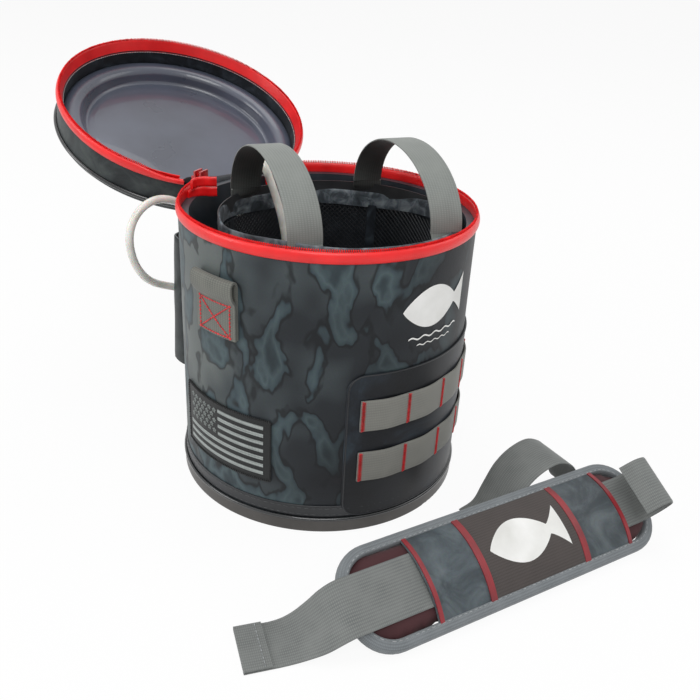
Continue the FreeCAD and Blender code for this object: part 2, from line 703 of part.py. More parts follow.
# Hose outside the bucket, from the port down into the pocket
OUTER_ROUTE = [
    (-9.0, 118.5, 192.0),
    (-21.0, 119.5, 192.5),
    (-33.0, 120.5, 195.0),
    (-44.0, 121.5, 200.0),
    (-55.0, 122.0, 205.5),
    (-68.0, 122.0, 207.5),
    (-81.0, 122.0, 203.5),
    (-90.5, 122.0, 194.0),
    (-94.5, 122.0, 181.5),
    (-93.0, 122.5, 168.0),
    (-88.0, 123.5, 155.0),
    (-79.5, 125.0, 143.5),
    (-68.5, 127.0, 135.0),
    (-57.0, 127.5, 129.5),
    (-45.5, 125.5, 125.0),
    (-35.5, 122.5, 121.0),
]
# Hose inside, over the collar of the net and down to the air stone
INNER_ROUTE = [
    (3.0, 98.0, 200.0),
    (3.0, 98.3, 211.0),
    (3.5, 97.3, 222.0),
    (3.5, 91.0, 231.0),
    (3.0, 81.0, 235.6),
    (2.0, 70.0, 234.7),
    (1.0, 61.0, 228.4),
    (0.8, 54.5, 217.5),
    (1.3, 48.7, 205.5),
    (1.5, 44.3, 192.0),
    (1.0, 41.3, 176.0),
    (0.5, 39.8, 158.0),
    (-0.5, 39.5, 137.0),
    (-1.2, 40.2, 116.0),
    (-1.2, 40.0, 96.0),
    (-0.6, 38.8, 78.0),
    (0.0, 38.0, 64.0),
    (0.0, 38.0, 51.5),
]
save("hose_outer", hose("hose_outer", OUTER_ROUTE, HOSE_RADIUS))
save("hose_inner", hose("hose_inner", INNER_ROUTE, HOSE_RADIUS))

# Pocket: a sewn box that tapers upwards, with a slit for the hose
foot_reach = BUCKET_RADIUS + POCKET_FOOT_REACH
top_reach = BUCKET_RADIUS + POCKET_TOP_REACH
pocket_angle = POCKET_END_ANGLE - POCKET_START_ANGLE


def pocket_cone(shift, base, height, top_shift, angle):
    return Part.makeCone(foot_reach + shift, top_reach + top_shift, height, V(0, 0, base), UP, angle)


pocket = turned(pocket_cone(0, pocket_low, POCKET_HEIGHT, 0, pocket_angle), POCKET_START_ANGLE)
pocket = pocket.cut(disc(BUCKET_RADIUS, 0, BUCKET_HEIGHT))
room_angle = pocket_angle - 2 * POCKET_WALL_ANGLE
room = pocket_cone(-POCKET_WALL, pocket_low, POCKET_HEIGHT, -POCKET_WALL, room_angle)
room = turned(room, POCKET_START_ANGLE + POCKET_WALL_ANGLE)
room = room.cut(disc(foot_reach + OVERRUN, 0, pocket_low + POCKET_WALL))
slit = tube([V(*place) for place in OUTER_ROUTE], HOSE_RADIUS + POCKET_SLIT)[0]
pocket = pocket.cut(room).cut(slit)
save("pump_pocket", max(pocket.Solids, key=lambda solid: solid.Volume))
hem_low = pocket_high - POCKET_HEM
taper = (foot_reach - top_reach) / POCKET_HEIGHT
hem_reach = top_reach + taper * POCKET_HEM
hem_outer = Part.makeCone(hem_reach + POCKET_HEM_WALL, top_reach + POCKET_HEM_WALL, POCKET_HEM,
                          V(0, 0, hem_low), UP, pocket_angle)
hem_inner = Part.makeCone(hem_reach, top_reach, POCKET_HEM, V(0, 0, hem_low))
save("pocket_hem", turned(hem_outer.cut(hem_inner), POCKET_START_ANGLE))

# Pump case in two halves, drawn with its depth along Y
pump_back = BUCKET_RADIUS + PUMP_STANDOFF
pump_front = pump_back + PUMP_DEPTH
pump_split = pump_back + PUMP_BACK_DEPTH
pump_low = pocket_low + POCKET_WALL
pump_high = pump_low + PUMP_HEIGHT
half_pump = PUMP_WIDTH / 2
case = box(-half_pump, half_pump, pump_back, pump_front, pump_low, pump_high)
case = case.makeFillet(PUMP_CORNER, [e for e in case.Edges if abs(e.tangentAt(e.FirstParameter).y) == 1])
cavity_back = pump_back + PUMP_WALL
cavity_low = pump_low + PUMP_WALL
cavity_high = pump_high - PUMP_WALL
half_cavity = half_pump - PUMP_WALL
cavity = box(-half_cavity, half_cavity, cavity_back, pump_front - PUMP_WALL, cavity_low, cavity_high)
switch_depth = pump_front - SWITCH_IN
switch_place = V(0, switch_depth, 0)
switch_hole = disc(SWITCH_RADIUS + SWITCH_ROOM, cavity_high - OVERRUN, pump_high + OVERRUN)
hollow_case = case.cut(cavity).cut(switch_hole.translated(switch_place))
back_half = box(-PUMP_WIDTH, PUMP_WIDTH, 0, pump_split, 0, BUCKET_HEIGHT)
save("pump_case_back", hollow_case.common(back_half))
save("pump_case_front", hollow_case.cut(back_half))
motor_place = V(-MOTOR_SIDE, cavity_back + MOTOR_RADIUS, cavity_low)
save("pump_motor", Part.makeCylinder(MOTOR_RADIUS, MOTOR_LENGTH, motor_place))
head_low = cavity_low + MOTOR_LENGTH
head_left = -MOTOR_SIDE - HEAD_WIDTH / 2
head_right = -MOTOR_SIDE + HEAD_WIDTH / 2
head = box(head_left, head_right, cavity_back, cavity_back + HEAD_DEPTH, head_low, head_low + HEAD_HEIGHT)
save("pump_diaphragm", head)
cell_left = CELL_SIDE - CELL_WIDTH / 2
cell_right = CELL_SIDE + CELL_WIDTH / 2
cell_front = cavity_back + CELL_DEPTH
cell = box(cell_left, cell_right, cavity_back, cell_front, cavity_low, cavity_low + CELL_HEIGHT)
save("pump_cell", cell)
switch = disc(SWITCH_RADIUS, cavity_high - SWITCH_FLANGE_WALL, pump_high + SWITCH_PROUD)
switch = switch.fuse(disc(SWITCH_FLANGE, cavity_high - SWITCH_FLANGE_WALL, cavity_high))
save("pump_switch", switch.removeSplitter().translated(switch_place))
hose_end = V(*OUTER_ROUTE[-1])
hose_ahead = hose_end - V(*OUTER_ROUTE[-2])
nozzle = Part.makeCylinder(HOSE_RADIUS, 2 * hose_ahead.Length, hose_end, hose_ahead)
nozzle = nozzle.cut(case)
save("pump_nozzle", max(nozzle.Solids, key=lambda solid: -solid.CenterOfMass.x))

# Hose elbow through the wall, with its flange outside and its nut inside
inner_elbow = V(PORT_ACROSS, port_inner, port_height)
outer_elbow = V(PORT_ACROSS, port_outer, port_height)
port = Part.makeCylinder(PORT_RADIUS, port_outer - port_inner, inner_elbow, V(0, 1, 0))
port = port.fuse(Part.makeSphere(PORT_RADIUS, inner_elbow))
port = port.fuse(Part.makeSphere(PORT_RADIUS, outer_elbow))
port = port.fuse(Part.makeCylinder(HOSE_RADIUS, PORT_RISE, inner_elbow))
port = port.fuse(Part.makeCylinder(HOSE_RADIUS, PORT_ARM, outer_elbow, V(-1, 0, 0)))
flange_place = V(PORT_ACROSS, BUCKET_RADIUS + PORT_ROOM, port_height)
port = port.fuse(Part.makeCylinder(PORT_FLANGE, PORT_FLANGE_WALL, flange_place, V(0, 1, 0)))
save("hose_port", port)
nut_place = V(PORT_ACROSS, liner_inner - NUT_ROOM - NUT_WALL, port_height)
nut = Part.makeCylinder(PORT_FLANGE, NUT_WALL, nut_place, V(0, 1, 0))
save("port_nut", nut.cut(port_hole))

# Bait net: collar folded over a stiffener, mesh wall, floor and sewn handle tails
net_place = V(NET_ACROSS, -NET_AHEAD, 0)
stiffener_inner = collar_inner + COLLAR_LAYER
stiffener_outer = stiffener_inner + STIFFENER_WALL
collar_top = BUCKET_HEIGHT - COLLAR_DROP
collar_low = collar_top - COLLAR_HEIGHT
stiffener_top = collar_top - COLLAR_LAYER
collar = ring(collar_inner, collar_outer, collar_low, collar_top)
collar = collar.cut(ring(stiffener_inner, stiffener_outer, collar_low - OVERRUN, stiffener_top))
save("net_collar", collar.translated(net_place))
mesh_top = collar_low + STIFFENER_WALL
stiffener = ring(stiffener_inner, stiffener_outer, mesh_top, stiffener_top)
save("collar_stiffener", stiffener.translated(net_place))
net_low = inside_floor + NET_REST
net_floor_top = net_low + NET_FLOOR_WALL
save("net_wall", ring(stiffener_inner, stiffener_outer, net_low, mesh_top).translated(net_place))
save("net_floor", disc(stiffener_inner, net_low, net_floor_top).translated(net_place))
tail_inner = collar_inner - TAIL_WALL
tail_top = collar_top + TAIL_RISE
tail = ring(tail_inner, collar_inner, collar_low, tail_top, -TAIL_HALF_ANGLE, TAIL_HALF_ANGLE)
tail_angles = []
for foot in (foot_angle, -foot_angle):
    tail_angles.append(HANDLE_TURN_ANGLE + foot)
    tail_angles.append(HANDLE_TURN_ANGLE + HALF_TURN + foot)
tails = Part.makeCompound([turned(tail, angle) for angle in tail_angles])
save("handle_tails", tails.translated(net_place))
stone_high = net_floor_top + STONE_LENGTH
stone = disc(STONE_RADIUS, net_floor_top, stone_high)
round_edges = [e for e in stone.Edges if e.BoundBox.ZLength < STONE_ROUND]
stone = stone.makeFillet(STONE_ROUND, round_edges).translated(V(0, STONE_BACK, 0))
save("air_stone", stone)
save("stone_barb", disc(HOSE_RADIUS, stone_high, stone_high + BARB_LENGTH).translated(V(0, STONE_BACK, 0)))

# Handles: half ellipses of flat webbing
fold_height = tail_top + FOLD_ROOM


def half_ellipse(half, rise):
    stretch = FreeCAD.Matrix()
    stretch.scale(V(1, 1, rise / half))
    return arc(at(half, 0), at(0, half), at(-half, 0)).transformGeometry(stretch)


inner_half = half_span - HANDLE_WALL
handle_edges = [
    half_ellipse(half_span, HANDLE_RISE),
    line(at(-half_span, 0), at(-inner_half, 0)),
    half_ellipse(inner_half, HANDLE_RISE - HANDLE_WALL),
    line(at(inner_half, 0), at(half_span, 0)),
]
handle = turned(slab(Part.__sortEdges__(handle_edges), HANDLE_WIDTH), HANDLE_TURN_ANGLE)
handle = handle.translated(net_place)
save("handle_right", handle.translated(polar(HANDLE_OFFSET, HANDLE_TURN_ANGLE - RIGHT_ANGLE, fold_height)))
save("handle_left", handle.translated(polar(HANDLE_OFFSET, HANDLE_TURN_ANGLE + RIGHT_ANGLE, fold_height)))

# Shoulder pad: crowned foam in a bound edge
inner_length = PAD_LENGTH - 2 * BINDING_WIDTH
inner_width = PAD_WIDTH - 2 * BINDING_WIDTH
inner_corner_pad = PAD_CORNER - BINDING_WIDTH
pad_half = inner_width / 2
crown_edges = [
    line(V(0, -pad_half, 0), V(0, pad_half, 0)),
    line(V(0, pad_half, 0), V(0, pad_half, PAD_EDGE)),
    arc(V(0, pad_half, PAD_EDGE), V(0, 0, PAD_CROWN), V(0, -pad_half, PAD_EDGE)),
    line(V(0, -pad_half, PAD_EDGE), V(0, -pad_half, 0)),
]
crown = Part.Face(Part.Wire(crown_edges)).extrude(V(PAD_LENGTH, 0, 0)).translated(V(-PAD_LENGTH / 2, 0, 0))
pad_block = rounded_slab(inner_length, inner_width, inner_corner_pad, 0, PAD_CROWN + OVERRUN)
save("pad_base", leant(crown.common(pad_block)))
binding = rounded_slab(PAD_LENGTH, PAD_WIDTH, PAD_CORNER, 0, BINDING_HEIGHT)
outer_edges = [e for e in binding.Edges if e.BoundBox.ZLength < BINDING_ROUND]
binding = binding.makeFillet(BINDING_ROUND, outer_edges)
binding_top = BINDING_HEIGHT + OVERRUN
binding = binding.cut(rounded_slab(inner_length, inner_width, inner_corner_pad, -OVERRUN, binding_top))
save("pad_binding", leant(binding))

# Sleeve over the webbing, its centre panel and its four trims
half_sleeve = SLEEVE_WIDTH / 2
sleeve_half_length = SLEEVE_LENGTH / 2
sleeve = arch(half_sleeve, SLEEVE_EDGE, SLEEVE_CROWN, SLEEVE_WALL, -sleeve_half_length, sleeve_half_length)
sleeve_place = V(SLEEVE_SHIFT, 0, 0)
save("pad_sleeve", leant(sleeve.translated(sleeve_place)))
cover_edge = SLEEVE_EDGE + SLEEVE_WALL
cover_crown = SLEEVE_CROWN + SLEEVE_WALL
half_trim = TRIM_WIDTH / 2
trim_outer = sleeve_half_length - TRIM_INSET - half_trim
panel_half = TRIM_INNER - half_trim
cover = arch(half_sleeve, cover_edge, cover_crown, PANEL_COVER_WALL, -panel_half, panel_half)
save("sleeve_centre_panel", leant(cover.translated(sleeve_place)))
trims = []
for place in (-trim_outer, -TRIM_INNER, TRIM_INNER, trim_outer):
    trims.append(arch(half_sleeve, cover_edge, cover_crown, TRIM_WALL, place - half_trim, place + half_trim))
save("sleeve_trims", leant(Part.makeCompound(trims).translated(sleeve_place)))

# Strap webbing: from its free end on the floor, over the leaning pad, and curled up at the far end
tilt = FreeCAD.Rotation(V(1, 0, 0), PAD_TILT_ANGLE)
strap_floor = STRAP_WALL / 2 + STRAP_FLOOR_ROOM
strap_top = PAD_CROWN + STRAP_LIFT + STRAP_WALL / 2
half_length = PAD_LENGTH / 2
on_pad = tilt.multVec(V(0, 0, strap_top)) + V(0, 0, pad_lift)
# Each row: along the half length, across the pad's width, height between floor and pad
FREE_SHARES = [(-1.49, 0.315, 0), (-1.414, 0.283, 0), (-1.338, 0.251, 0), (-1.316, 0.242, 0)]
FREE_SHARES += [(-1.255, 0.211, 0.05), (-1.194, 0.163, 0.21), (-1.137, 0.093, 0.5), (-1.08, 0.038, 0.8)]
FREE_SHARES += [(-1.019, 0.008, 0.97), (-0.943, 0, 1), (-0.76, 0, 1), (0, 0, 1), (0.6, 0, 1)]
CURL_SHARES = [(0.78, 0), (0.885, 0.015), (0.95, 0.12), (0.975, 0.29), (0.93, 0.42), (0.845, 0.44)]
CURL_SHARES += [(0.775, 0.33)]
strap_route = []
strap_sides = []
for share, across_share, height_share in FREE_SHARES:
    height = strap_floor + height_share * (on_pad.z - strap_floor)
    strap_route.append(V(share * half_length, on_pad.y + across_share * PAD_WIDTH, height))
    lean = FreeCAD.Rotation(V(1, 0, 0), height_share * PAD_TILT_ANGLE)
    swing = FreeCAD.Rotation(UP, (height_share - 1) * FREE_TURN_ANGLE)
    strap_sides.append(swing.multVec(lean.multVec(V(0, 1, 0))))
for share, rise_share in CURL_SHARES:
    strap_route.append(V(share * half_length, 0, 0) + on_pad + tilt.multVec(V(0, 0, rise_share * PAD_WIDTH)))
    strap_sides.append(tilt.multVec(V(0, 1, 0)))
eased_sides = eased(strap_sides)
for side in eased_sides:
    side.normalize()
strap = twisted_band(eased(strap_route), eased_sides, STRAP_WIDTH, STRAP_WALL)
save("strap_webbing", on_floor(strap))
hem_way = strap_route[1] - strap_route[0]
hem_way.normalize()
hem_start = strap_route[0] + V(0, 0, STRAP_WALL)
hem_line = [hem_start, hem_start + hem_way * HEM_LENGTH]
hem = twisted_band(hem_line, [strap_sides[0]] * 2, STRAP_WIDTH, STRAP_WALL)
save("strap_end_hem", on_floor(hem))

# Webbing arch behind the pad, on which its back edge leans
BEHIND_SHARES = [(0.93, 0), (0.83, 0.08), (0.77, 0.34), (0.69, 0.57), (0.57, 0.68), (0.44, 0.63)]
BEHIND_SHARES += [(0.34, 0.49), (0.27, 0.27), (0.21, 0.07), (0.11, 0)]
tail_route = [V(share * half_length, 0, strap_floor + rise_share * PAD_WIDTH)
              for share, rise_share in BEHIND_SHARES]
tail_ribbon = ribbon(tail_route, STRAP_WIDTH, STRAP_WALL)
pad_back = tilt.multVec(V(0, PAD_WIDTH / 2 - BINDING_ROUND, BINDING_ROUND)).y + BINDING_ROUND
save("webbing_tail", on_floor(tail_ribbon.translated(V(0, pad_back + STRAP_WIDTH / 2 + TAIL_ROOM, 0))))
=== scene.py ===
import bmesh
import bpy
import math
from mathutils import Matrix, Vector, noise


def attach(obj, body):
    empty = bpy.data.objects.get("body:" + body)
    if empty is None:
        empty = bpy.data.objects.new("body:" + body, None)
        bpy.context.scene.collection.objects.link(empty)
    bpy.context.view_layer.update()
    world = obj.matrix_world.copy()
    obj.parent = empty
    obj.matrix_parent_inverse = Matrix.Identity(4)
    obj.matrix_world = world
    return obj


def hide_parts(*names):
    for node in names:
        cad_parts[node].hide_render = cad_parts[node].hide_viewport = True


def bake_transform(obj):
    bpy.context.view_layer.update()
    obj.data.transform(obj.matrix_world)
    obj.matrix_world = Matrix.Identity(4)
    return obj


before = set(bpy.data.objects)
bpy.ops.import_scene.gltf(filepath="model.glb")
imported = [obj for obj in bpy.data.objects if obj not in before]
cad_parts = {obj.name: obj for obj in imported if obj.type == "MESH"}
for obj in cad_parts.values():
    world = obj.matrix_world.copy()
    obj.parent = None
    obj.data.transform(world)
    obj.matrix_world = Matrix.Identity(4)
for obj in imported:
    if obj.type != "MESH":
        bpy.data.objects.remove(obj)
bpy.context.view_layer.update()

# Pieces are worked out in millimetres, in the part's own frame, and stored in metres
MM = 0.001
UP = Vector((0, 0, 1))

# Bucket wall and zip
SHELL_RADIUS = 112.0
SHELL_WALL = 1.0
SHELL_FOOT = 3.0
SHELL_TOP = 214.0
ZIP_MEET = 224.0
ZIP_BAND = 10.0
RIM_ZIP = (105.0, 429.5)
LID_ZIP = (112.0, 423.0)
LID_TAPER = (104.0, 112.0, 124.0)
TOOTH_PITCH = 1.5
TOOTH_RADIUS = 1.05

# Lid, described shut and then laid open on its hinge
LID_TOP = 266.0
LID_CORNER = 7.0
HINGE_ANGLE = 77.6
HINGE_REACH = 117.0
HINGE_HEIGHT = 215.3
LID_OPEN = 156.75
STRIP = (70.0, 104.0)

# Front panel, rows, loops, patch and pocket
PANEL = (-129.7, -44.3, 13.0, 133.0)
PANEL_FACE = 113.0
PANEL_CORNER = 12.0
ROW_HEIGHTS = (57.7, 100.5)
ROW_CENTRE = -87.2
ROW_PITCH = 18.3
ROW_CELLS = 4
ROW_END = 1.0
ROW_WIDTH = 25.0
ROW_WALL = 1.5
ROW_BULGE = 0.9
TACK_WIDTH = 2.4
TACK_HEIGHT = 24.0
LOOP_WIDTH = 38.0
LOOP_FOOT = 149.0
LOOP_SEWN_TOP = 176.0
PATCH = (157.2, 202.8, 40.0, 91.0)
PATCH_FACE = 113.0
POCKET = (62.0, 118.0, 62.0, 174.0)

# Bait net and handles
NET_PLACE = Vector((4.5, -7.5, 0))
NET_RADIUS = 91.0
NET_FOOT = 13.6
COLLAR_TOP = 212.0
COLLAR_HEIGHT = 13.0
COLLAR_DIP = 7.0
HANDLE_TURN = 63.0
HANDLE_OFFSET = 53.0
HANDLE_SPAN = 69.2
HANDLE_RISE = 47.7
HANDLE_WIDTH = 25.0
HANDLE_WALL = 1.6
FOLD_HEIGHT = 216.3

# Hoses: the outer one on the part's route, the inner one moved to where the photo shows it
HOSE_RADIUS = 3.2
OUTER_ROUTE = [
    (-9, 118.5, 192), (-21, 119.5, 192.5), (-33, 120.5, 195), (-44, 121.5, 200),
    (-55, 122, 205.5), (-68, 122, 207.5), (-81, 122, 203.5), (-90.5, 122, 194),
    (-94.5, 122, 181.5), (-93, 122.5, 168), (-88, 123.5, 155), (-79.5, 125, 143.5),
    (-68.5, 127, 135), (-57, 127.5, 129.5), (-45.5, 125.5, 125), (-35.5, 122.5, 121),
]
INNER_ROUTE = [
    (3, 98, 200), (3.1, 98.1, 209), (3.3, 98.2, 218.3), (3.6, 98.1, 227.5), (3.9, 92.5, 234.9),
    (4.2, 83.6, 237.5), (4.5, 74.9, 234.2), (4.7, 69.5, 226), (4.7, 64.4, 217.2), (4.6, 59.4, 208),
    (4.3, 54.8, 198.5), (3.7, 50.8, 188.5), (2.8, 47.2, 177), (1.5, 44, 162), (0, 42, 144),
    (-1, 40.8, 124), (-1.3, 40.2, 104), (-0.9, 39.2, 84), (-0.2, 38.2, 66), (0, 38, 51.5),
]

# Shoulder strap in front, its pad leaning on its own webbing
PAD_TURN = -19.6
PAD_TILT = 30.0
PAD_CENTRE = Vector((-25.0, -198.5, 0))
PAD_LENGTH = 263.0
PAD_WIDTH = 72.0
PAD_CORNER = 28.0
PAD_EDGE = 8.0
PAD_CROWN = 11.5
PAD_VOXEL = 4.0
PAD_PRESSURE = 4.0
PAD_FRAMES = 20
PAD_SWELL = 2.5
BINDING_WIDTH = 7.5
BINDING_ROUND = 2.0
SLEEVE_LENGTH = 176.0
SLEEVE_SHIFT = 11.5
SLEEVE_WIDTH = 60.0
SLEEVE_EDGE = 9.0
SLEEVE_TOP = 17.4
CENTRE_PANEL = 81.4
TRIMS = ((-85.6, 3.2), (-42.9, 5.2), (42.9, 5.2), (85.6, 3.2))
STRAP_WIDTH = 38.0
STRAP_WALL = 1.5
STRAP_FLOOR = 0.9
STRAP_TOP = 12.35
FREE_TURN = 13.0
FREE_SHARES = [
    (-1.49, 0.315, 0), (-1.414, 0.283, 0), (-1.338, 0.251, 0), (-1.316, 0.242, 0), (-1.255, 0.211, 0.05),
    (-1.194, 0.163, 0.21), (-1.137, 0.093, 0.5), (-1.08, 0.038, 0.8), (-1.019, 0.008, 0.97), (-0.943, 0, 1),
    (-0.76, 0, 1), (0, 0, 1), (0.6, 0, 1)]
CURL_SHARES = [(0.78, 0), (0.885, 0.015), (0.95, 0.12), (0.975, 0.29), (0.93, 0.42), (0.845, 0.44), (0.775, 0.33)]
TAIL_SHARES = [(0.93, 0), (0.83, 0.08), (0.77, 0.34), (0.69, 0.57), (0.57, 0.68), (0.44, 0.63), (0.34, 0.49),
               (0.27, 0.27), (0.21, 0.07), (0.11, 0)]
TAIL_ROOM = 0.3


def polar(radius, angle, height=0.0):
    """Point at a radius and an angle in degrees round the bucket's axis."""
    turn = math.radians(angle)
    return Vector((radius * math.cos(turn), radius * math.sin(turn), height))


hinge = polar(HINGE_REACH, HINGE_ANGLE, HINGE_HEIGHT)
hinge_axis = polar(1, HINGE_ANGLE + 90)
lid_swing = (Matrix.Translation(hinge) @ Matrix.Rotation(math.radians(LID_OPEN), 4, hinge_axis)
             @ Matrix.Translation(-hinge))
pad_turn = Matrix.Rotation(math.radians(PAD_TURN), 3, "Z")
pad_tilt = Matrix.Rotation(math.radians(PAD_TILT), 3, "X")
pad_lift = BINDING_ROUND - (pad_tilt @ Vector((0, BINDING_ROUND - PAD_WIDTH / 2, BINDING_ROUND))).z


def laid_open(point):
    """A point of the shut lid, where it lies on the open lid."""
    return lid_swing @ point


def on_floor(along, across, height):
    """A point of the strap's free ends, along and across the pad, at a height over the floor."""
    return PAD_CENTRE + pad_turn @ Vector((along, across, height))


def leant(along, across, height):
    """A point of the leaning pad, from its own length, width and height."""
    point = pad_tilt @ Vector((along, across, height))
    return on_floor(point.x, point.y, max(0.15, point.z + pad_lift))


def steps(start, end, count):
    """Evenly spaced values from start to end."""
    return [start + (end - start) * i / count for i in range(count + 1)]


def eased(points, count, ring=False):
    """Smooth line through a few points, with count steps in each run."""
    points = [Vector(p) for p in points]
    runs = len(points) if ring else len(points) - 1
    line = []
    for i in range(runs):
        b, c = points[i], points[(i + 1) % len(points)]
        a = points[i - 1] if ring or i else 2 * b - c
        d = points[(i + 2) % len(points)] if ring or i + 2 < len(points) else 2 * c - b
        for j in range(count):
            t = j / count
            line.append(0.5 * (2 * b + (c - a) * t + (2 * a - 5 * b + 4 * c - d) * t ** 2
                               + (3 * b - a - 3 * c + d) * t ** 3))
    return line if ring else line + [points[-1]]


def between(start, end, count):
    """Evenly spaced pairs of numbers from one pair to another."""
    return zip(*(steps(a, b, count) for a, b in zip(start, end)))


def rounded_line(length, width, corner, turns, pitch):
    """Closed line round a rectangle with round corners: at each point its corner's centre and its way out."""
    line, dense = [], []
    for x, y, turn in ((1, 1, 0), (-1, 1, 90), (-1, -1, 180), (1, -1, 270)):
        centre = Vector((x * (length / 2 - corner), y * (width / 2 - corner), 0))
        line += [(centre, polar(1, a)) for a in steps(turn, turn + 90, turns)]
    for (p, way), (q, after) in zip(line, line[1:] + line[:1]):
        runs = max(1, int((q - p).length / pitch))
        dense += [(p.lerp(q, k / runs), way.lerp(after, k / runs).normalized()) for k in range(runs)]
    return dense + dense[:1]


def ripple(point, size, seed=0.0):
    """Smooth unevenness from -1 to 1, with swells of about this size."""
    return noise.noise(Vector(point) / size + Vector((seed, seed, seed)))


# Nodes and materials

def linear(code):
    """Linear colour of an sRGB hex code."""
    parts = [int(code[i:i + 2], 16) / 255 for i in (0, 2, 4)]
    return (*(c / 12.92 if c <= 0.04045 else ((c + 0.055) / 1.055) ** 2.4 for c in parts), 1.0)


def per(size):
    """Texture scale at which a pattern's grain is this many millimetres."""
    return 1 / (size * MM)


def add(tree, kind, links=None, stops=None, **settings):
    """One node with its settings, its colour stops, and its values or links by socket."""
    node = tree.nodes.new(kind)
    for key, value in settings.items():
        setattr(node, key, value)
    if stops:
        ramp = node.color_ramp
        ramp.elements.remove(ramp.elements[1])
        ramp.elements[0].position = stops[0][0]
        ramp.elements[0].color = linear(stops[0][1])
        for place, code in stops[1:]:
            ramp.elements.new(place).color = linear(code)
    for key, value in (links or {}).items():
        if isinstance(value, bpy.types.NodeSocket):
            tree.links.new(value, node.inputs[key])
        else:
            node.inputs[key].default_value = value
    return node


def fresh(data):
    """Emptied node tree of a material or a world."""
    data.use_nodes = True
    data.node_tree.nodes.clear()
    return data.node_tree


def begin(name, **sockets):
    """A material with its tree and shader, and the object and cloth coordinates."""
    material = bpy.data.materials.new(name)
    tree = fresh(material)
    shader = add(tree, "ShaderNodeBsdfPrincipled", sockets)
    add(tree, "ShaderNodeOutputMaterial", {"Surface": shader.outputs["BSDF"]})
    where = add(tree, "ShaderNodeTexCoord").outputs
    return material, tree, shader, where["Object"], where["UV"]


def grains(tree, place, size, detail, **more):
    """Noise with a grain of this many millimetres."""
    return add(tree, "ShaderNodeTexNoise", {
        "Vector": place, "Scale": per(size), "Detail": detail, **more}).outputs["Fac"]


def ribbed(tree, place, pitch, way, **more):
    """Ribs this many millimetres apart, one way over the cloth."""
    return add(tree, "ShaderNodeTexWave", {
        "Vector": place, "Scale": math.tau * per(pitch) / 20, **more}, bands_direction=way).outputs["Fac"]


def toned(tree, value, stops):
    """Colour of a value on a ramp of colour stops."""
    return add(tree, "ShaderNodeValToRGB", {"Fac": value}, stops).outputs["Color"]


def ranged(tree, value, source, target):
    """A value between two limits, carried over to two others."""
    return add(tree, "ShaderNodeMapRange", {
        "Value": value, "From Min": source[0], "From Max": source[1],
        "To Min": target[0], "To Max": target[1]}).outputs["Result"]


def mixed(tree, share, under, over, how="MIX"):
    """Two colours, one over the other."""
    return add(tree, "ShaderNodeMix", {0: share, 6: under, 7: over}, data_type="RGBA", blend_type=how).outputs[2]


def reckoned(tree, rule, *values):
    """What a rule of arithmetic makes of some values."""
    return add(tree, "ShaderNodeMath", dict(enumerate(values)), operation=rule).outputs[0]


def surface(tree, shader, colour, cloud, rough, height, relief, depth):
    """Joins to a shader its colour, a gloss that follows a cloud between two values, and a relief."""
    bump = add(tree, "ShaderNodeBump", {"Height": height, "Strength": relief, "Distance": depth * MM})
    for socket, value in (("Base Color", colour), ("Roughness", ranged(tree, cloud, (0, 1), rough)),
                          ("Normal", bump.outputs["Normal"])):
        tree.links.new(value, shader.inputs[socket])


def woven_face(tree, shader, place, colour, cloud, rough, speck, relief):
    """The look that printed cloth shares: specks of its weave, uneven gloss and a faint thread relief."""
    # Threads of 0.5 mm are too fine to show, so the weave is drawn at 1.4 mm
    weave = grains(tree, place, 1.4, 2.0)
    specks = mixed(tree, speck, colour, weave.node.outputs["Color"], "OVERLAY")
    surface(tree, shader, specks, cloud, (rough - 0.1, rough + 0.12), weave, relief, depth=0.25)


def printed_polyester(name, stops, haze, blotch=44.0, rough=0.5):
    """Coated woven polyester with a printed cloudy camouflage: soft blotches, a dull sheen and a faint weave."""
    material, tree, shader, place, _ = begin(name, **{"Specular IOR Level": 0.25, "Sheen Weight": 0.04})
    cloud = grains(tree, place, blotch, 5.0, Roughness=0.6, Distortion=0.8)
    # Broad drift from the cool side to the warm side of the print
    drift = grains(tree, place, 4 * blotch, 1.0)
    print_ = mixed(tree, 0.55, toned(tree, cloud, stops), toned(tree, drift, haze), "MULTIPLY")
    woven_face(tree, shader, place, print_, cloud, rough, speck=0.16, relief=0.35)
    return material


def brushed_polyester(name, ground_ramp_with_painted_light, leaves, rim, lean, blotch=21.0, rough=0.5):
    """Coated woven polyester printed with pale brushed blotches, each with a dark rim, on a ground that drifts from
    pale to dark: partly at random, and partly as painted light, paler towards the lit side and the top along the
    given way. A broken, hand-brushed look with a dull sheen and a faint weave."""
    material, tree, shader, place, _ = begin(name, **{"Specular IOR Level": 0.25, "Sheen Weight": 0.03})
    slow = grains(tree, place, 3 * blotch, 2.0)
    # Painted light: the ground turns paler along the given way, towards one side of the wall and its top, where the
    # lamps light it; the slow noise adds a random drift
    side = add(tree, "ShaderNodeVectorMath", {0: place, 1: lean}, operation="DOT_PRODUCT")
    drift = reckoned(tree, "MULTIPLY_ADD", slow, 1.3, side.outputs["Value"])
    slant = add(tree, "ShaderNodeMapping", {
        "Vector": place, "Rotation": (0.5, 0.4, 0.3), "Scale": (1.0, 1.0, 0.55)})
    stroke = grains(tree, slant.outputs["Vector"], blotch, 2.5, Roughness=0.45, Distortion=0.35)
    # Blotches fade out where the ground is dark, so they also fade into the painted shade of the wall's far side
    fade = ranged(tree, drift, (0.35, 0.85), (0.95, 0.12))
    bare = mixed(tree, ranged(tree, stroke, (0.47, 0.50), (0, 0.75)), toned(tree, drift, ground_ramp_with_painted_light), linear(rim))
    print_ = mixed(tree, ranged(tree, stroke, (0.515, 0.535), (0, fade)), bare, toned(tree, stroke, leaves))
    woven_face(tree, shader, place, print_, slow, rough, speck=0.14, relief=0.3)
    return material


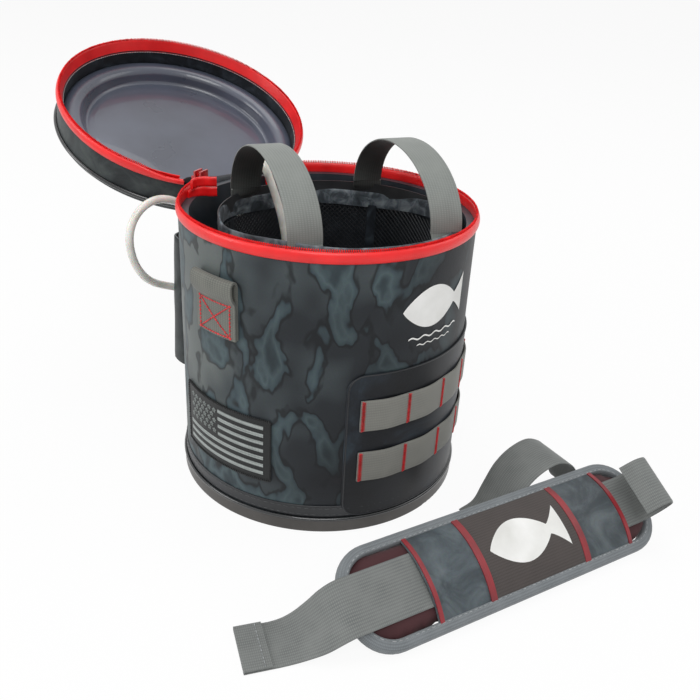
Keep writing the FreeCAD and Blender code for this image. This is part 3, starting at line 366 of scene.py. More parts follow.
def woven_webbing(name, pale, dark, rib=1.3, rough=0.72):
    """Woven nylon webbing: crosswise ribs, lengthwise columns and a soft fibre sheen."""
    material, tree, shader, _, cloth = begin(name, **{"Specular IOR Level": 0.3, "Sheen Weight": 0.12})
    # Real ribs of about 1 mm are drawn a little coarser so that they show
    ribs = ribbed(tree, cloth, rib, "X", Distortion=0.6, Detail=1.0, **{"Detail Scale": 3.0})
    cross = reckoned(tree, "MULTIPLY", ribs, ribbed(tree, cloth, 1.6 * rib, "Y", Distortion=0.4))
    wear = grains(tree, cloth, 16.0, 4.0)
    tones = toned(tree, reckoned(tree, "ADD", cross, wear), [(0.3, dark), (0.95, pale)])
    surface(tree, shader, tones, wear, (rough - 0.1, rough + 0.1), cross, relief=0.12, depth=0.2)
    return material


def moulded(name, pale, dark, rough, grain=0.9, cloud=30.0, **sockets):
    """Moulded plastic or rubber: a fine mould grain, faint cloudiness and uneven gloss."""
    material, tree, shader, place, _ = begin(name, **sockets)
    clouds = grains(tree, place, cloud, 4.0)
    tones = toned(tree, clouds, [(0.32, dark), (0.68, pale)])
    pits = grains(tree, place, grain, 3.0)
    surface(tree, shader, tones, clouds, (rough - 0.08, rough + 0.08), pits, relief=0.2, depth=0.15)
    return material


def coated_tape(name, pale, dark, rough=0.38):
    """Coated zip tape: bright, smooth, with a fine lengthwise rib and a satin coat."""
    material, tree, shader, place, cloth = begin(name, **{"Coat Weight": 0.15, "Coat Roughness": 0.3})
    wear = grains(tree, place, 22.0, 4.0)
    tones = toned(tree, wear, [(0.3, dark), (0.62, pale)])
    ribs = ribbed(tree, cloth, 1.5, "X")
    surface(tree, shader, tones, wear, (rough - 0.1, rough + 0.1), ribs, relief=0.25, depth=0.15)
    return material


# The wall print's ground is painted paler towards its lit side and its top, as painted light, along the way (2.8,
# -3.5, -1.5)
shell_print = brushed_polyester(
    "printed_coated_polyester",
    [(0.05, "5e6463"), (0.3, "3c4346"), (0.5, "23272b"), (0.8, "191b1f"), (1.0, "241f25")],
    [(0.53, "37444a"), (0.60, "4b5a5e"), (0.68, "323e43"), (0.78, "242d32")], "101316", (2.8, -3.5, -1.5))
lid_print = printed_polyester(
    "printed_lid_polyester",
    [(0.32, "1c1f22"), (0.45, "2b3032"), (0.55, "3d4344"), (0.68, "4f5554")],
    [(0.3, "a9b2b3"), (0.7, "c8c4c2")], blotch=30.0)
panel_print = printed_polyester(
    "welded_panel_polyester",
    [(0.32, "0f1114"), (0.52, "1a1d22"), (0.62, "262d34"), (0.74, "35424a")],
    [(0.3, "a6b0ba"), (0.7, "c4bcc4")], blotch=55.0, rough=0.42)
collar_print = printed_polyester(
    "collar_polyester",
    [(0.30, "2a2f33"), (0.46, "4d545a"), (0.56, "737b81"), (0.70, "9aa1a4")],
    [(0.3, "b4bcc0"), (0.7, "c8c4c2")], blotch=13.0, rough=0.6)
sleeve_print = printed_polyester(
    "sleeve_polyester",
    [(0.30, "3d4347"), (0.46, "4c5357"), (0.56, "5b6367"), (0.70, "6d7578")],
    [(0.3, "c4ccd2"), (0.7, "d6d2d2")], blotch=26.0, rough=0.55)
tub_plastic = moulded("moulded_tub_vinyl", "494643", "383532", 0.4)
welt_gloss = moulded("glossy_vinyl_welt", "26282a", "141517", 0.2, **{"Coat Weight": 0.4})
base_band = moulded("welded_base_vinyl", "24262a", "141619", 0.36, grain=1.6)
foam = moulded("closed_cell_foam", "c9c4b8", "aaa69b", 0.8, grain=1.2)
liner = moulded("welded_liner_vinyl", "353b42", "23282e", 0.38, cloud=24.0)
zip_red = coated_tape("red_coated_zip_tape", "f21a1c", "dc1013")
zip_teeth = moulded("red_nylon_coil", "ee1e20", "c20f12", 0.6, cloud=6.0, **{"Specular IOR Level": 0.2})
lining = printed_polyester(
    "dark_lining_polyester",
    [(0.32, "14171b"), (0.5, "22272d"), (0.62, "323940"), (0.75, "454d53")],
    [(0.3, "b8c0c6"), (0.7, "cac6c6")], blotch=16.0, rough=0.5)
dish = moulded("moulded_lid_tray", "535968", "414653", 0.3, grain=1.1, cloud=80.0, **{"Coat Weight": 0.35})
slider_metal = moulded("red_lacquered_zinc", "cf1d20", "97100f", 0.3, cloud=3.0, **{"Coat Weight": 0.5})
handle_webbing = woven_webbing("grey_nylon_webbing", "898d89", "777b78")
# Darker copy of the handle webbing: painted shade for the inner and under faces of the handles and their tails
painted_shade_webbing = woven_webbing("webbing_painted_shade", "454846", "343635")
loop_webbing = woven_webbing("loop_nylon_webbing", "74756e", "575955")
row_webbing = woven_webbing("pale_nylon_webbing", "82827c", "74746f")
strap_webbing = woven_webbing("strap_nylon_webbing", "7d807e", "636665")
binding_tape = woven_webbing("binding_tape", "7e8386", "64696c", rib=1.2)
red_thread = moulded("red_bonded_thread", "d8363b", "a8191f", 0.5, grain=0.6, cloud=3.0)
grey_thread = moulded("grey_bonded_thread", "a9adae", "7c8081", 0.5, grain=0.6, cloud=3.0)
dark_thread = moulded("dark_bonded_thread", "4c4e50", "333537", 0.5, grain=0.6, cloud=3.0)
patch_black = woven_webbing("black_embroidery", "1d1f20", "0b0c0c", rib=1.2, rough=0.6)
patch_grey = woven_webbing("grey_embroidery", "a4aaa8", "6f7573", rib=1.2, rough=0.55)
hose_vinyl = moulded("milky_vinyl_hose", "ecebe4", "d5d3ca", 0.26, cloud=14.0,
                     **{"Subsurface Weight": 0.25, "Subsurface Scale": 0.002, "Coat Weight": 0.3})
pump_plastic = moulded("black_abs", "2c2e30", "191a1c", 0.45)
red_plastic = moulded("red_abs_button", "d2282c", "9c1216", 0.4)
motor_steel = moulded("drawn_steel_can", "a5a7a9", "77797b", 0.3, cloud=4.0, **{"Metallic": 1.0})
cell_wrap = moulded("cell_sleeve_vinyl", "3f6f9c", "2b5074", 0.32)
net_nylon = moulded("black_net_nylon", "2a2c2f", "17181a", 0.55, cloud=8.0)
stone_grain = moulded("bonded_mineral_stone", "a8b2b6", "737c82", 0.85, grain=1.3, cloud=2.2)
maroon_cloth = woven_webbing("maroon_polyester", "522a2e", "361b1e", rib=1.4)
taupe_cloth = woven_webbing("taupe_polyester", "4d4745", "3d3836", rib=1.2)
trim_red = coated_tape("dark_red_piping", "8f232b", "66161d", 0.5)
white_print = moulded("white_screen_ink", "f2f2f0", "dcdcd8", 0.5, grain=1.0)


# Mesh pieces

def shown(name, data):
    """Object of a mesh, a curve, a lamp or a camera, in the scene."""
    piece = bpy.data.objects.new(name, data)
    bpy.context.scene.collection.objects.link(piece)
    return piece


def as_seen(piece):
    """Mesh of a piece with its modifiers applied."""
    return bpy.data.meshes.new_from_object(piece.evaluated_get(bpy.context.evaluated_depsgraph_get()))


def settle(name, mesh, material, merge=True):
    """Object of a finished mesh: doubles merged, faces outward, smooth with crisp folds."""
    if merge:
        shape = bmesh.new()
        shape.from_mesh(mesh)
        bmesh.ops.remove_doubles(shape, verts=shape.verts, dist=0.001 * MM)
        bmesh.ops.recalc_face_normals(shape, faces=shape.faces)
        shape.to_mesh(mesh)
        shape.free()
    mesh.shade_smooth()
    mesh.set_sharp_from_angle(angle=math.radians(42))
    if material:
        mesh.materials.clear()
        mesh.materials.append(material)
    return shown(name, mesh)


def grid_piece(name, rows, marks, material, ring_rows=False, ring_columns=False, capped=False):
    """Skin over rows of points; marks(row, column) gives a point's place on the flat cloth."""
    tall, wide = len(rows), len(rows[0])
    faces, places = [], []
    for i in range(tall if ring_rows else tall - 1):
        for j in range(wide if ring_columns else wide - 1):
            corners = [(i, j), (i + 1, j), (i + 1, j + 1), (i, j + 1)]
            faces.append([a % tall * wide + b % wide for a, b in corners])
            places.append([marks(a, b) for a, b in corners])
    if capped:
        for i, order in ((0, range(wide)), (tall - 1, range(wide - 1, -1, -1))):
            faces.append([i * wide + j for j in order])
            places.append([marks(i, j) for j in order])
    mesh = bpy.data.meshes.new(name)
    mesh.from_pydata([p * MM for row in rows for p in row], [], faces)
    flat = [c * MM for face in places for mark in face for c in mark]
    mesh.uv_layers.new(name="cloth").data.foreach_set("uv", flat)
    return settle(name, mesh, material)


def thickened(piece, thickness, offset):
    """Gives a sheet its wall."""
    wall = piece.modifiers.new("wall", "SOLIDIFY")
    wall.thickness = thickness * MM
    wall.offset = offset
    made = as_seen(piece)
    piece.modifiers.remove(wall)
    piece.data = made
    return piece


def running(points):
    """Length along a line at each of its points, in millimetres."""
    total = [0.0]
    for a, b in zip(points, points[1:]):
        total.append(total[-1] + (b - a).length)
    return total


def turned(name, profile, material, span=(0.0, 360.0), count=180, shape=None, place=None):
    """A closed profile of radius and height, turned round the bucket's axis over a span of angles."""
    start, end = span
    full = end - start >= 360
    angles = steps(start, end, count)[:count if full else count + 1]
    profile = [Vector((p[0], p[1], 0)) for p in profile]
    rows = []
    for angle in angles:
        row = []
        for p in profile:
            radius, height = shape(angle, p.x, p.y) if shape else (p.x, p.y)
            point = polar(radius, angle, height)
            row.append(place(point) if place else point)
        rows.append(row)
    along = running(profile + profile[:1])
    pitch = math.radians(end - start) / count * SHELL_RADIUS
    return grid_piece(name, rows, lambda i, j: (i * pitch, along[j]), material,
                      ring_rows=full, ring_columns=True, capped=not full)


def webbing(name, centres, acrosses, width, wall, material, ring=False):
    """Flat woven band along a line of points, with soft edges."""
    half = width / 2
    edge = min(1.2, half / 4)
    sides = [-half, -half + edge, -half / 2, 0, half / 2, half - edge, half]
    outline = [(s, wall / 2 * (0.45 if abs(s) == half else 1)) for s in sides]
    outline += [(s, -h) for s, h in reversed(outline)]
    along = running(centres + centres[:1] if ring else centres)
    rows = []
    for i, (centre, across) in enumerate(zip(centres, acrosses)):
        before = centres[i - 1] if ring or i else centre
        after = centres[(i + 1) % len(centres)] if ring or i + 1 < len(centres) else centre
        face = (after - before).cross(across).normalized()
        rows.append([centre + s * across + h * face for s, h in outline])
    return grid_piece(name, rows, lambda i, j: (along[i], outline[j % len(outline)][0]),
                      material, ring_rows=ring, ring_columns=True, capped=not ring)


def joined(name, pieces):
    """Several pieces as one object."""
    shape = bmesh.new()
    material = pieces[0].data.materials[0]
    for piece in pieces:
        shape.from_mesh(piece.data)
        bpy.data.objects.remove(piece)
    mesh = bpy.data.meshes.new(name)
    shape.to_mesh(mesh)
    shape.free()
    return settle(name, mesh, material, merge=False)


def hand_over(piece, body, slot, *nodes):
    """The piece rides on a body and stands for these solids, which are hidden. The slot is not used."""
    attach(piece, body)
    if nodes:
        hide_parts(*nodes)
    return piece


# Geometry Nodes: sewn stitches and beads along lines, round strands along lines

def node_group(name, *inputs):
    """Geometry tree with named inputs, the outputs of its input node, and its lines as curves."""
    tree = bpy.data.node_groups.new(name, "GeometryNodeTree")
    tree.interface.new_socket("Geometry", in_out="INPUT", socket_type="NodeSocketGeometry")
    for label, kind in inputs:
        tree.interface.new_socket(label, in_out="INPUT", socket_type=kind)
    tree.interface.new_socket("Geometry", in_out="OUTPUT", socket_type="NodeSocketGeometry")
    given = add(tree, "NodeGroupInput").outputs
    return tree, given, add(tree, "GeometryNodeMeshToCurve", {"Mesh": given["Geometry"]}).outputs["Curve"]


def ended(tree, given, shape):
    """The tree with its ending: what it laid made real, with its finish."""
    real = add(tree, "GeometryNodeRealizeInstances", {"Geometry": shape})
    done = add(tree, "GeometryNodeSetMaterial", {
        "Geometry": real.outputs["Geometry"], "Material": given["Finish"]})
    add(tree, "NodeGroupOutput", {"Geometry": done.outputs["Geometry"]})
    return tree


def stitch_tree():
    """A small spindle laid along the line at every pitch, slightly uneven as sewn thread is."""
    tree, given, curve = node_group(
        "stitches_along_lines", ("Pitch", "NodeSocketFloat"), ("Length", "NodeSocketFloat"),
        ("Radius", "NodeSocketFloat"), ("Finish", "NodeSocketMaterial"))
    places = add(tree, "GeometryNodeCurveToPoints", {"Curve": curve, "Length": given["Pitch"]}, mode="LENGTH")
    ball = add(tree, "GeometryNodeMeshUVSphere", {"Segments": 6, "Rings": 5, "Radius": 1.0})
    size = add(tree, "ShaderNodeCombineXYZ", {
        "X": given["Radius"], "Y": given["Radius"], "Z": reckoned(tree, "MULTIPLY", given["Length"], 0.5)})
    spindle = add(tree, "GeometryNodeTransform", {
        "Geometry": ball.outputs["Mesh"], "Scale": size.outputs["Vector"]})
    uneven = add(tree, "FunctionNodeRandomValue", {2: 0.9, 3: 1.1, "Seed": 7}, data_type="FLOAT")
    laid = add(tree, "GeometryNodeInstanceOnPoints", {
        "Points": places.outputs["Points"], "Instance": spindle.outputs["Geometry"],
        "Rotation": places.outputs["Rotation"], "Scale": uneven.outputs[1]})
    return ended(tree, given, laid.outputs["Instances"])


def strand_tree():
    """A round strand along every line."""
    tree, given, curve = node_group(
        "strands_along_lines", ("Radius", "NodeSocketFloat"), ("Sides", "NodeSocketInt"),
        ("Finish", "NodeSocketMaterial"))
    round_ = add(tree, "GeometryNodeCurvePrimitiveCircle", {
        "Resolution": given["Sides"], "Radius": given["Radius"]})
    strand = add(tree, "GeometryNodeCurveToMesh", {
        "Curve": curve, "Profile Curve": round_.outputs["Curve"], "Fill Caps": True})
    return ended(tree, given, strand.outputs["Mesh"])


STITCHES = stitch_tree()
STRANDS = strand_tree()


def along_lines(name, lines, tree, finish, **sizes):
    """Plain mesh of what a tree lays along lines of points; sizes are millimetres or counts."""
    points, edges = [], []
    for line in lines:
        first = len(points)
        points += [p * MM for p in line]
        edges += [(first + i, first + i + 1) for i in range(len(line) - 1)]
    mesh = bpy.data.meshes.new(name + ".lines")
    mesh.from_pydata(points, edges, [])
    guide = shown(name + ".lines", mesh)
    rule = guide.modifiers.new("rule", "NODES")
    rule.node_group = tree
    for item in tree.interface.items_tree:
        if item.in_out == "INPUT" and item.name in sizes:
            value = sizes[item.name]
            rule[item.identifier] = value if isinstance(value, int) else value * MM
        elif item.in_out == "INPUT" and item.name == "Finish":
            rule[item.identifier] = finish
    made = as_seen(guide)
    guide.modifiers.remove(rule)
    bpy.data.objects.remove(guide)
    return settle(name, made, finish, merge=False)


# Hoses first: each follows a spline through its route's points

def hose_spline(name, route):
    """Curve object whose control points are the route's."""
    curve = bpy.data.curves.new(name, "CURVE")
    curve.dimensions = "3D"
    spline = curve.splines.new("NURBS")
    spline.points.add(len(route) - 1)
    for knot, place in zip(spline.points, route):
        knot.co = (*(c * MM for c in place), 1)
    spline.order_u = 3
    spline.use_endpoint_u = True
    spline.resolution_u = 8
    return shown(name, curve)


outer_hose = hose_spline("outer_air_hose", OUTER_ROUTE)
outer_hose.data.bevel_depth = HOSE_RADIUS * MM
outer_hose.data.bevel_resolution = 5
outer_hose.data.use_fill_caps = True
outer_hose.data.materials.append(hose_vinyl)
hand_over(outer_hose, "bucket", "hose_vinyl", "hose_outer")

guide = hose_spline("inner_air_hose.line", INNER_ROUTE)
inner_line = [v.co / MM for v in as_seen(guide).vertices]
bpy.data.objects.remove(guide)
hose_rows, side = [], Vector((1, 0, 0))
for i, point in enumerate(inner_line):
    ahead = inner_line[min(i + 1, len(inner_line) - 1)] - inner_line[max(i - 1, 0)]
    side = (side - side.project(ahead)).normalized()
    other = ahead.normalized().cross(side)
    hose_rows.append([point + HOSE_RADIUS * (math.cos(a) * side + math.sin(a) * other)
                      for a in steps(0, math.tau, 16)[:16]])
hose_along = running(inner_line)
inner_hose = grid_piece("inner_air_hose", hose_rows, lambda i, j: (hose_along[i], j), hose_vinyl,
                        ring_columns=True, capped=True)
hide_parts("hose_inner")
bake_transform(inner_hose)


# Bucket wall: printed cover, base band and its stitching

def wall_swell(angle, radius, height):
    """The soft wall is not quite even."""
    swell = ripple(polar(radius, angle, height), 60)
    return radius - (0.3 + 0.3 * swell if radius > SHELL_RADIUS - SHELL_WALL / 2 else 0), height


wall_profile = [(SHELL_RADIUS, z) for z in steps(SHELL_FOOT, SHELL_TOP, 34)]
wall_profile += [(SHELL_RADIUS - SHELL_WALL, SHELL_TOP), (SHELL_RADIUS - SHELL_WALL, SHELL_FOOT)]
hand_over(turned("wall_cover", wall_profile, shell_print, count=220, shape=wall_swell),
          "bucket", "shell_print", "outer_shell")

BAND_LOW, BAND_HIGH = 12.8, 23.0
band_profile = eased([(111.9, BAND_LOW), (112.7, BAND_LOW + 0.6), (112.6, 18), (112.7, BAND_HIGH - 0.6),
                      (111.9, BAND_HIGH)], 4)
hand_over(turned("base_band", band_profile, base_band), "bucket", "tub_plastic")
base_lines = [[polar(112.75, a, z) for a in steps(0, 360, 240)] for z in (15.2, 20.8)]
hand_over(along_lines("base_band_stitching", base_lines, STITCHES, dark_thread,
                      Pitch=5.2, Length=3.8, Radius=0.3), "bucket", "grey_webbing")

# Zip: rounded red bands with rows of coil teeth
rim_profile = eased([(110.2, 214.0), (112.3, 214.1), (113.3, 216.2), (113.5, 218.4), (113.0, 220.6),
                     (112.0, 221.8), (110.6, 221.8), (109.9, 219.8), (109.8, 216.5)], 3, ring=True)
rim_band = turned("rim_zip_band", rim_profile, zip_red, RIM_ZIP, 200)
hand_over(rim_band, "bucket", "zip_red", "rim_zip_tape")
TOOTH_LINE = 111.0
rim_teeth = along_lines(
    "rim_zip_teeth", [[polar(TOOTH_LINE, a, ZIP_MEET - 1.2) for a in steps(*RIM_ZIP, 240)]], STITCHES, zip_teeth,
    Pitch=TOOTH_PITCH, Length=1.1, Radius=TOOTH_RADIUS)
hand_over(rim_teeth, "bucket", "zip_coil", "rim_zip_coil")

lid_profile = eased([(110.2, 234.2), (112.3, 234.1), (113.3, 231.9), (113.5, 229.6), (113.0, 227.4),
                     (112.0, 226.2), (110.6, 226.2), (109.9, 228.2), (109.8, 231.6)], 3, ring=True)


def lid_taper(angle, radius, height):
    """The lid's band narrows to its sewn edge where the slider parks."""
    share = min(1, max(0, (angle - LID_TAPER[1]) / (LID_TAPER[2] - LID_TAPER[1])))
    return radius, ZIP_MEET + ZIP_BAND - (ZIP_MEET + ZIP_BAND - height) * (0.58 + 0.42 * share)


hand_over(turned("lid_zip_band", lid_profile, zip_red, (LID_TAPER[0], LID_ZIP[1]), 210, shape=lid_taper,
                 place=laid_open), "lid", "zip_red", "lid_zip_tape")
lid_edge = [laid_open(polar(TOOTH_LINE, a, lid_taper(a, TOOTH_LINE, ZIP_MEET + 1.2)[1]))
            for a in steps(*LID_ZIP, 240)]
lid_teeth = along_lines("lid_zip_teeth", [lid_edge], STITCHES, zip_teeth,
                        Pitch=TOOTH_PITCH, Length=1.1, Radius=TOOTH_RADIUS)
hand_over(lid_teeth, "lid", "zip_coil", "lid_zip_coil")

# Turned-in zip ends: both tapes fold in over the rim, in front of the parked slider
END_WIDTH = 7.4
END_WALL = 2.2
END_TAPES = {
    "left": [[(109.6, 122.5, 215.3), (107, 119.8, 216.8), (101, 118.1, 217.8), (94.5, 118.3, 218.3),
              (89.2, 117.2, 218.6)],
             [(106.2, 122.6, 224.6), (104.6, 119.8, 225), (99.5, 118, 225.7), (93.5, 118.5, 226.2),
              (89.2, 117.4, 226.3)]],
    "right": [[(108.4, 70.2, 214.6), (106.6, 70.8, 214.2), (103, 72.4, 213.6), (99, 72.8, 213), (95.6, 74.4, 212.6)],
              [(106.2, 70.6, 221.2), (104.4, 71.4, 221.4), (101, 72.2, 221.2), (98.2, 73.8, 220.6),
               (95.6, 73.4, 220)]],
}
for label, routes in END_TAPES.items():
    folds = []
    for route in routes:
        line = eased([polar(*p) for p in route], 5)
        folds.append(webbing("fold", line, [UP] * len(line), END_WIDTH, END_WALL, zip_red))
    folded = joined("zip_end_" + label, folds)
    hand_over(folded, "bucket", "zip_red", *(["zip_end_tabs"] if label == "left" else []))

# Lid: printed cover, inner tape, lining strip and moulded tray
cover_profile = [(SHELL_RADIUS, z) for z in steps(234.2, LID_TOP - LID_CORNER, 10)]
cover_profile += [(SHELL_RADIUS - LID_CORNER * (1 - math.cos(a)), LID_TOP - LID_CORNER * (1 - math.sin(a)))
                  for a in steps(0.2, math.pi / 2, 6)]
cover_profile += [(r, LID_TOP) for r in (96, 80, 60, 40, 20, 0)]
cover_profile += [(0, LID_TOP - SHELL_WALL), (100, LID_TOP - SHELL_WALL),
                  (SHELL_RADIUS - SHELL_WALL, LID_TOP - LID_CORNER), (SHELL_RADIUS - SHELL_WALL, 234.2)]


def lid_swell(angle, radius, height):
    """Slack creases round the skirt, and a slightly hollow top."""
    if height < LID_TOP - LID_CORNER:
        return radius - 0.4 - 0.4 * ripple(polar(radius, angle, height), 22, 3.0), height
    return radius, height - 0.5 * (1 + ripple(polar(radius, angle, 0), 45, 5.0)) * min(1, radius / 30)


hand_over(turned("lid_cover", cover_profile, lid_print, count=200, shape=lid_swell, place=laid_open),
          "lid", "shell_print", "lid_skin")
inner_tape = [(110.4, 227.0), (109.0, 231.5), (107.5, 236.6), (106.9, 236.6), (108.4, 231.3), (109.9, 226.8)]
hand_over(turned("lid_inner_tape", inner_tape, zip_red, (106.0, 429.0), 180, place=laid_open), "lid", "zip_red")
seam = [[laid_open(polar(106.7, a, 236.8)) for a in steps(106, 429, 240)]]
hand_over(along_lines("lid_tape_seam", seam, STITCHES, grey_thread, Pitch=2.6, Length=2.4, Radius=0.4),
          "lid", "grey_webbing")
lining_profile = [(107.6, 235.2), (107.3, 252.4), (106.7, 252.4), (107.0, 235.2)]
hand_over(turned("lid_lining", lining_profile, lining, place=laid_open), "lid", "dark_fabric", "lid_wall_liner")
tray_profile = eased([(107.2, 252.6), (106.6, 249.4), (104.2, 247.2), (100.6, 246.1), (96.4, 246.0), (92.4, 247.3),
                      (89.8, 250.2), (88.8, 253.8), (87.8, 257.6), (85.6, 259.6), (82.6, 259.2), (78.0, 258.5)], 4)
tray_profile += [(55, 258.5), (28, 258.5), (0, 258.5), (0, 260.8), (100, 260.8), (107.6, 259.6), (107.8, 253.6)]
hand_over(turned("lid_tray", tray_profile, dish, count=200, place=laid_open), "lid", "dish_plastic", "lid_dish")

# Fabric hinge between the rim and the lid
hinge_rows = []
for angle in steps(STRIP[0] - 1, STRIP[1] + 1, 34):
    knots = [polar(109.9, angle, 212.5), polar(110.4, angle, 221.5),
             laid_open(polar(110.4, angle, 222.5)), laid_open(polar(109.2, angle, 236.0))]
    row = []
    for t in steps(0, 1, 18):
        a, b, c = (knots[k].lerp(knots[k + 1], t) for k in range(3))
        point = a.lerp(b, t).lerp(b.lerp(c, t), t)
        row.append(point + UP * 0.5 * ripple(point, 9, 2.0))
    hinge_rows.append(row)
hinge_sheet = grid_piece("hinge_fabric", hinge_rows, lambda i, j: (2.0 * i, 2.0 * j), lining)
hinge_mesh = thickened(hinge_sheet, 0.8, 0).data
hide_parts("hinge_strip")
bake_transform(hinge_sheet)

# Front: welded panel edge, two webbing rows and their bar tacks
WELD_INSET = 0.6
low_angle, high_angle, low, high = PANEL
panel_length = math.radians(high_angle - low_angle) * SHELL_RADIUS
weld = [centre + PANEL_CORNER * way for centre, way in rounded_line(
    panel_length - 2 * WELD_INSET, high - low - 2 * WELD_INSET, PANEL_CORNER, 6, 4)]
weld = [polar(PANEL_FACE, (low_angle + high_angle) / 2 + math.degrees(p.x / SHELL_RADIUS), (low + high) / 2 + p.y)
        for p in weld]
hand_over(along_lines("panel_weld_bead", [weld], STRANDS, base_band, Radius=0.55, Sides=8),
          "bucket", "shell_print")
row_start = ROW_CENTRE - ROW_PITCH * ROW_CELLS / 2
row_end = ROW_CENTRE + ROW_PITCH * ROW_CELLS / 2
tack_lines = []
for label, height in zip(("lower", "upper"), ROW_HEIGHTS):
    angles = steps(row_start - ROW_END, row_end + ROW_END, 120)
    centres = []
    for a in angles:
        cell = (a - row_start) / ROW_PITCH
        lift = ROW_BULGE * math.sin(math.pi * cell) ** 2 if 0 < cell < ROW_CELLS else 0
        centres.append(polar(PANEL_FACE + ROW_WALL / 2 + 0.1 + lift, a, height))
    row = webbing("webbing_row." + label, centres, [UP] * len(centres), ROW_WIDTH, ROW_WALL, row_webbing)
    hand_over(row, "bucket", "row_webbing", "webbing_row_" + label)
    for k in range(ROW_CELLS + 1):
        angle = row_start + k * ROW_PITCH
        spread = math.degrees(TACK_WIDTH / 2 / SHELL_RADIUS)
        tack_lines.append([polar(PANEL_FACE + ROW_WALL + 0.35, angle + (spread if i % 2 else -spread), z)
                           for i, z in enumerate(steps(height - TACK_HEIGHT / 2, height + TACK_HEIGHT / 2, 44))])
hand_over(along_lines("row_tack_thread", tack_lines, STRANDS, red_thread, Radius=0.42, Sides=6),
          "bucket", "red_thread", "row_bartacks")

# Strap loops with their box-and-cross stitching
loop_profile = [(112.9, LOOP_FOOT), (112.9, 165), (112.9, 180), (113.0, 188.5), (114.2, 191.6), (116.4, 192.6),
                (118.6, 191.4), (119.5, 188.0), (119.2, 183.5), (117.6, 179.6), (115.3, 176.6), (114.7, 172),
                (114.7, 160), (114.7, LOOP_FOOT)]
stitch_lines = []
for label, middle in (("left", 180.0), ("right", 0.0)):
    line = eased([(r, 0, z) for r, z in loop_profile], 4)
    half = math.degrees(LOOP_WIDTH / 2 / SHELL_RADIUS)
    sides = steps(-half, half, 8)
    rows = []
    for i, p in enumerate(line):
        step = line[min(i + 1, len(line) - 1)] - line[max(i - 1, 0)]
        out = Vector((-step.z, 0, step.x)).normalized() * 0.8
        front = [polar(p.x - out.x, middle + s, p.z - out.z) for s in sides]
        back = [polar(p.x + out.x, middle + s, p.z + out.z) for s in reversed(sides)]
        rows.append(front + back)
    along = running(line)
    marks = [s * SHELL_RADIUS * math.pi / 180 for s in sides]
    marks += marks[::-1]
    piece = grid_piece("strap_loop." + label, rows,
                       lambda i, j, along=along, marks=marks: (along[i], marks[j % len(marks)]),
                       loop_webbing, ring_columns=True, capped=True)
    hand_over(piece, "bucket", "grey_webbing", "strap_loop_" + label)
    wide = math.degrees(14.5 / SHELL_RADIUS)
    low, high, face = LOOP_FOOT + 1.8, LOOP_SEWN_TOP - 1.6, 115.75
    corners = [(-wide, low), (wide, low), (wide, high), (-wide, high)]
    for a, b in ((0, 1), (1, 2), (2, 3), (3, 0), (0, 2), (1, 3)):
        stitch_lines.append([polar(face, middle + x, z) for x, z in between(corners[a], corners[b], 10)])
hand_over(along_lines("loop_stitches", stitch_lines, STITCHES, red_thread, Pitch=2.7, Length=2.7, Radius=0.62),
          "bucket", "red_thread", "loop_stitching")


# Flag patch: black cloth, raised stripes and a field of small stars

def patch_point(across, up, radius):
    """Point of the patch: across and up run from 0 to 1, from the star field's lower corner outward."""
    return polar(radius, PATCH[0] + (PATCH[1] - PATCH[0]) * across, PATCH[2] + (PATCH[3] - PATCH[2]) * up)


def curved_plate(name, left, right, low, high, inner, outer, material, count=24):
    """Thin plate on the patch between shares of its width and height."""
    rows = []
    for across in steps(left, right, count):
        rows.append([patch_point(across, low, inner), patch_point(across, low, outer),
                     patch_point(across, (low + high) / 2, outer + 0.12), patch_point(across, high, outer),
                     patch_point(across, high, inner)])
    width = math.radians(PATCH[1] - PATCH[0]) * SHELL_RADIUS
    tall = PATCH[3] - PATCH[2]
    ups = (low, low, (low + high) / 2, high, high)
    return grid_piece(name, rows, lambda i, j: (
        width * (left + (right - left) * i / count), tall * ups[j % 5]), material, ring_columns=True, capped=True)


hand_over(curved_plate("patch_cloth", 0, 1, 0, 1, 112.0, PATCH_FACE - 0.2, patch_black), "bucket",
          "patch_rubber", "flag_patch")
STRIPES = 13
FIELD_LOW, FIELD_HIGH, FIELD_SIDE = 0.09, 0.91, 0.06
CANTON_WIDTH = 0.42
stripe = (FIELD_HIGH - FIELD_LOW) / STRIPES
canton_low = FIELD_HIGH - 7 * stripe
stripes = []
for k in range(0, STRIPES, 2):
    low = FIELD_LOW + k * stripe
    left = FIELD_SIDE + CANTON_WIDTH if low + stripe > canton_low + 0.001 else FIELD_SIDE
    stripes.append(curved_plate("stripe", left, 1 - FIELD_SIDE, low + 0.08 * stripe, low + 0.92 * stripe,
                                PATCH_FACE - 0.3, PATCH_FACE + 0.25, patch_grey))
hand_over(joined("patch_stripes", stripes), "bucket", "patch_rubber")
star_lines = []
for row in range(5):
    for column in range(6 - row % 2):
        across = FIELD_SIDE + CANTON_WIDTH * (column + 0.6 + 0.5 * (row % 2)) / 6.3
        up = canton_low + (FIELD_HIGH - canton_low) * (row + 0.6) / 5.2
        tips = []
        for k in range(11):
            reach = 1.9 if k % 2 == 0 else 0.8
            turn = math.radians(90 + 36 * k)
            tips.append(patch_point(across + reach * math.cos(turn) / 89, up + reach * math.sin(turn) / 51,
                                    PATCH_FACE))
        star_lines.append(tips)
hand_over(along_lines("patch_stars", star_lines, STRANDS, patch_grey, Radius=0.4, Sides=5),
          "bucket", "patch_rubber")
edge_line = []
for start, end, count in (((0, 0), (1, 0), 40), ((1, 0), (1, 1), 20), ((1, 1), (0, 1), 40), ((0, 1), (0, 0), 20)):
    edge_line += [patch_point(across, up, PATCH_FACE - 0.2) for across, up in between(start, end, count)]
hand_over(along_lines("patch_border_stitches", [edge_line], STITCHES, patch_black, Pitch=1.6, Length=1.5, Radius=1.1),
          "bucket", "patch_rubber")

# Pump pocket: a sewn fabric bag with a turned hem
pocket_turn = []
for angle in steps(POCKET[0], POCKET[1], 40):
    share = (angle - POCKET[0]) / (POCKET[1] - POCKET[0])
    pocket_turn.append((angle, min(1, 9 * share, 9 * (1 - share)) ** 0.5))


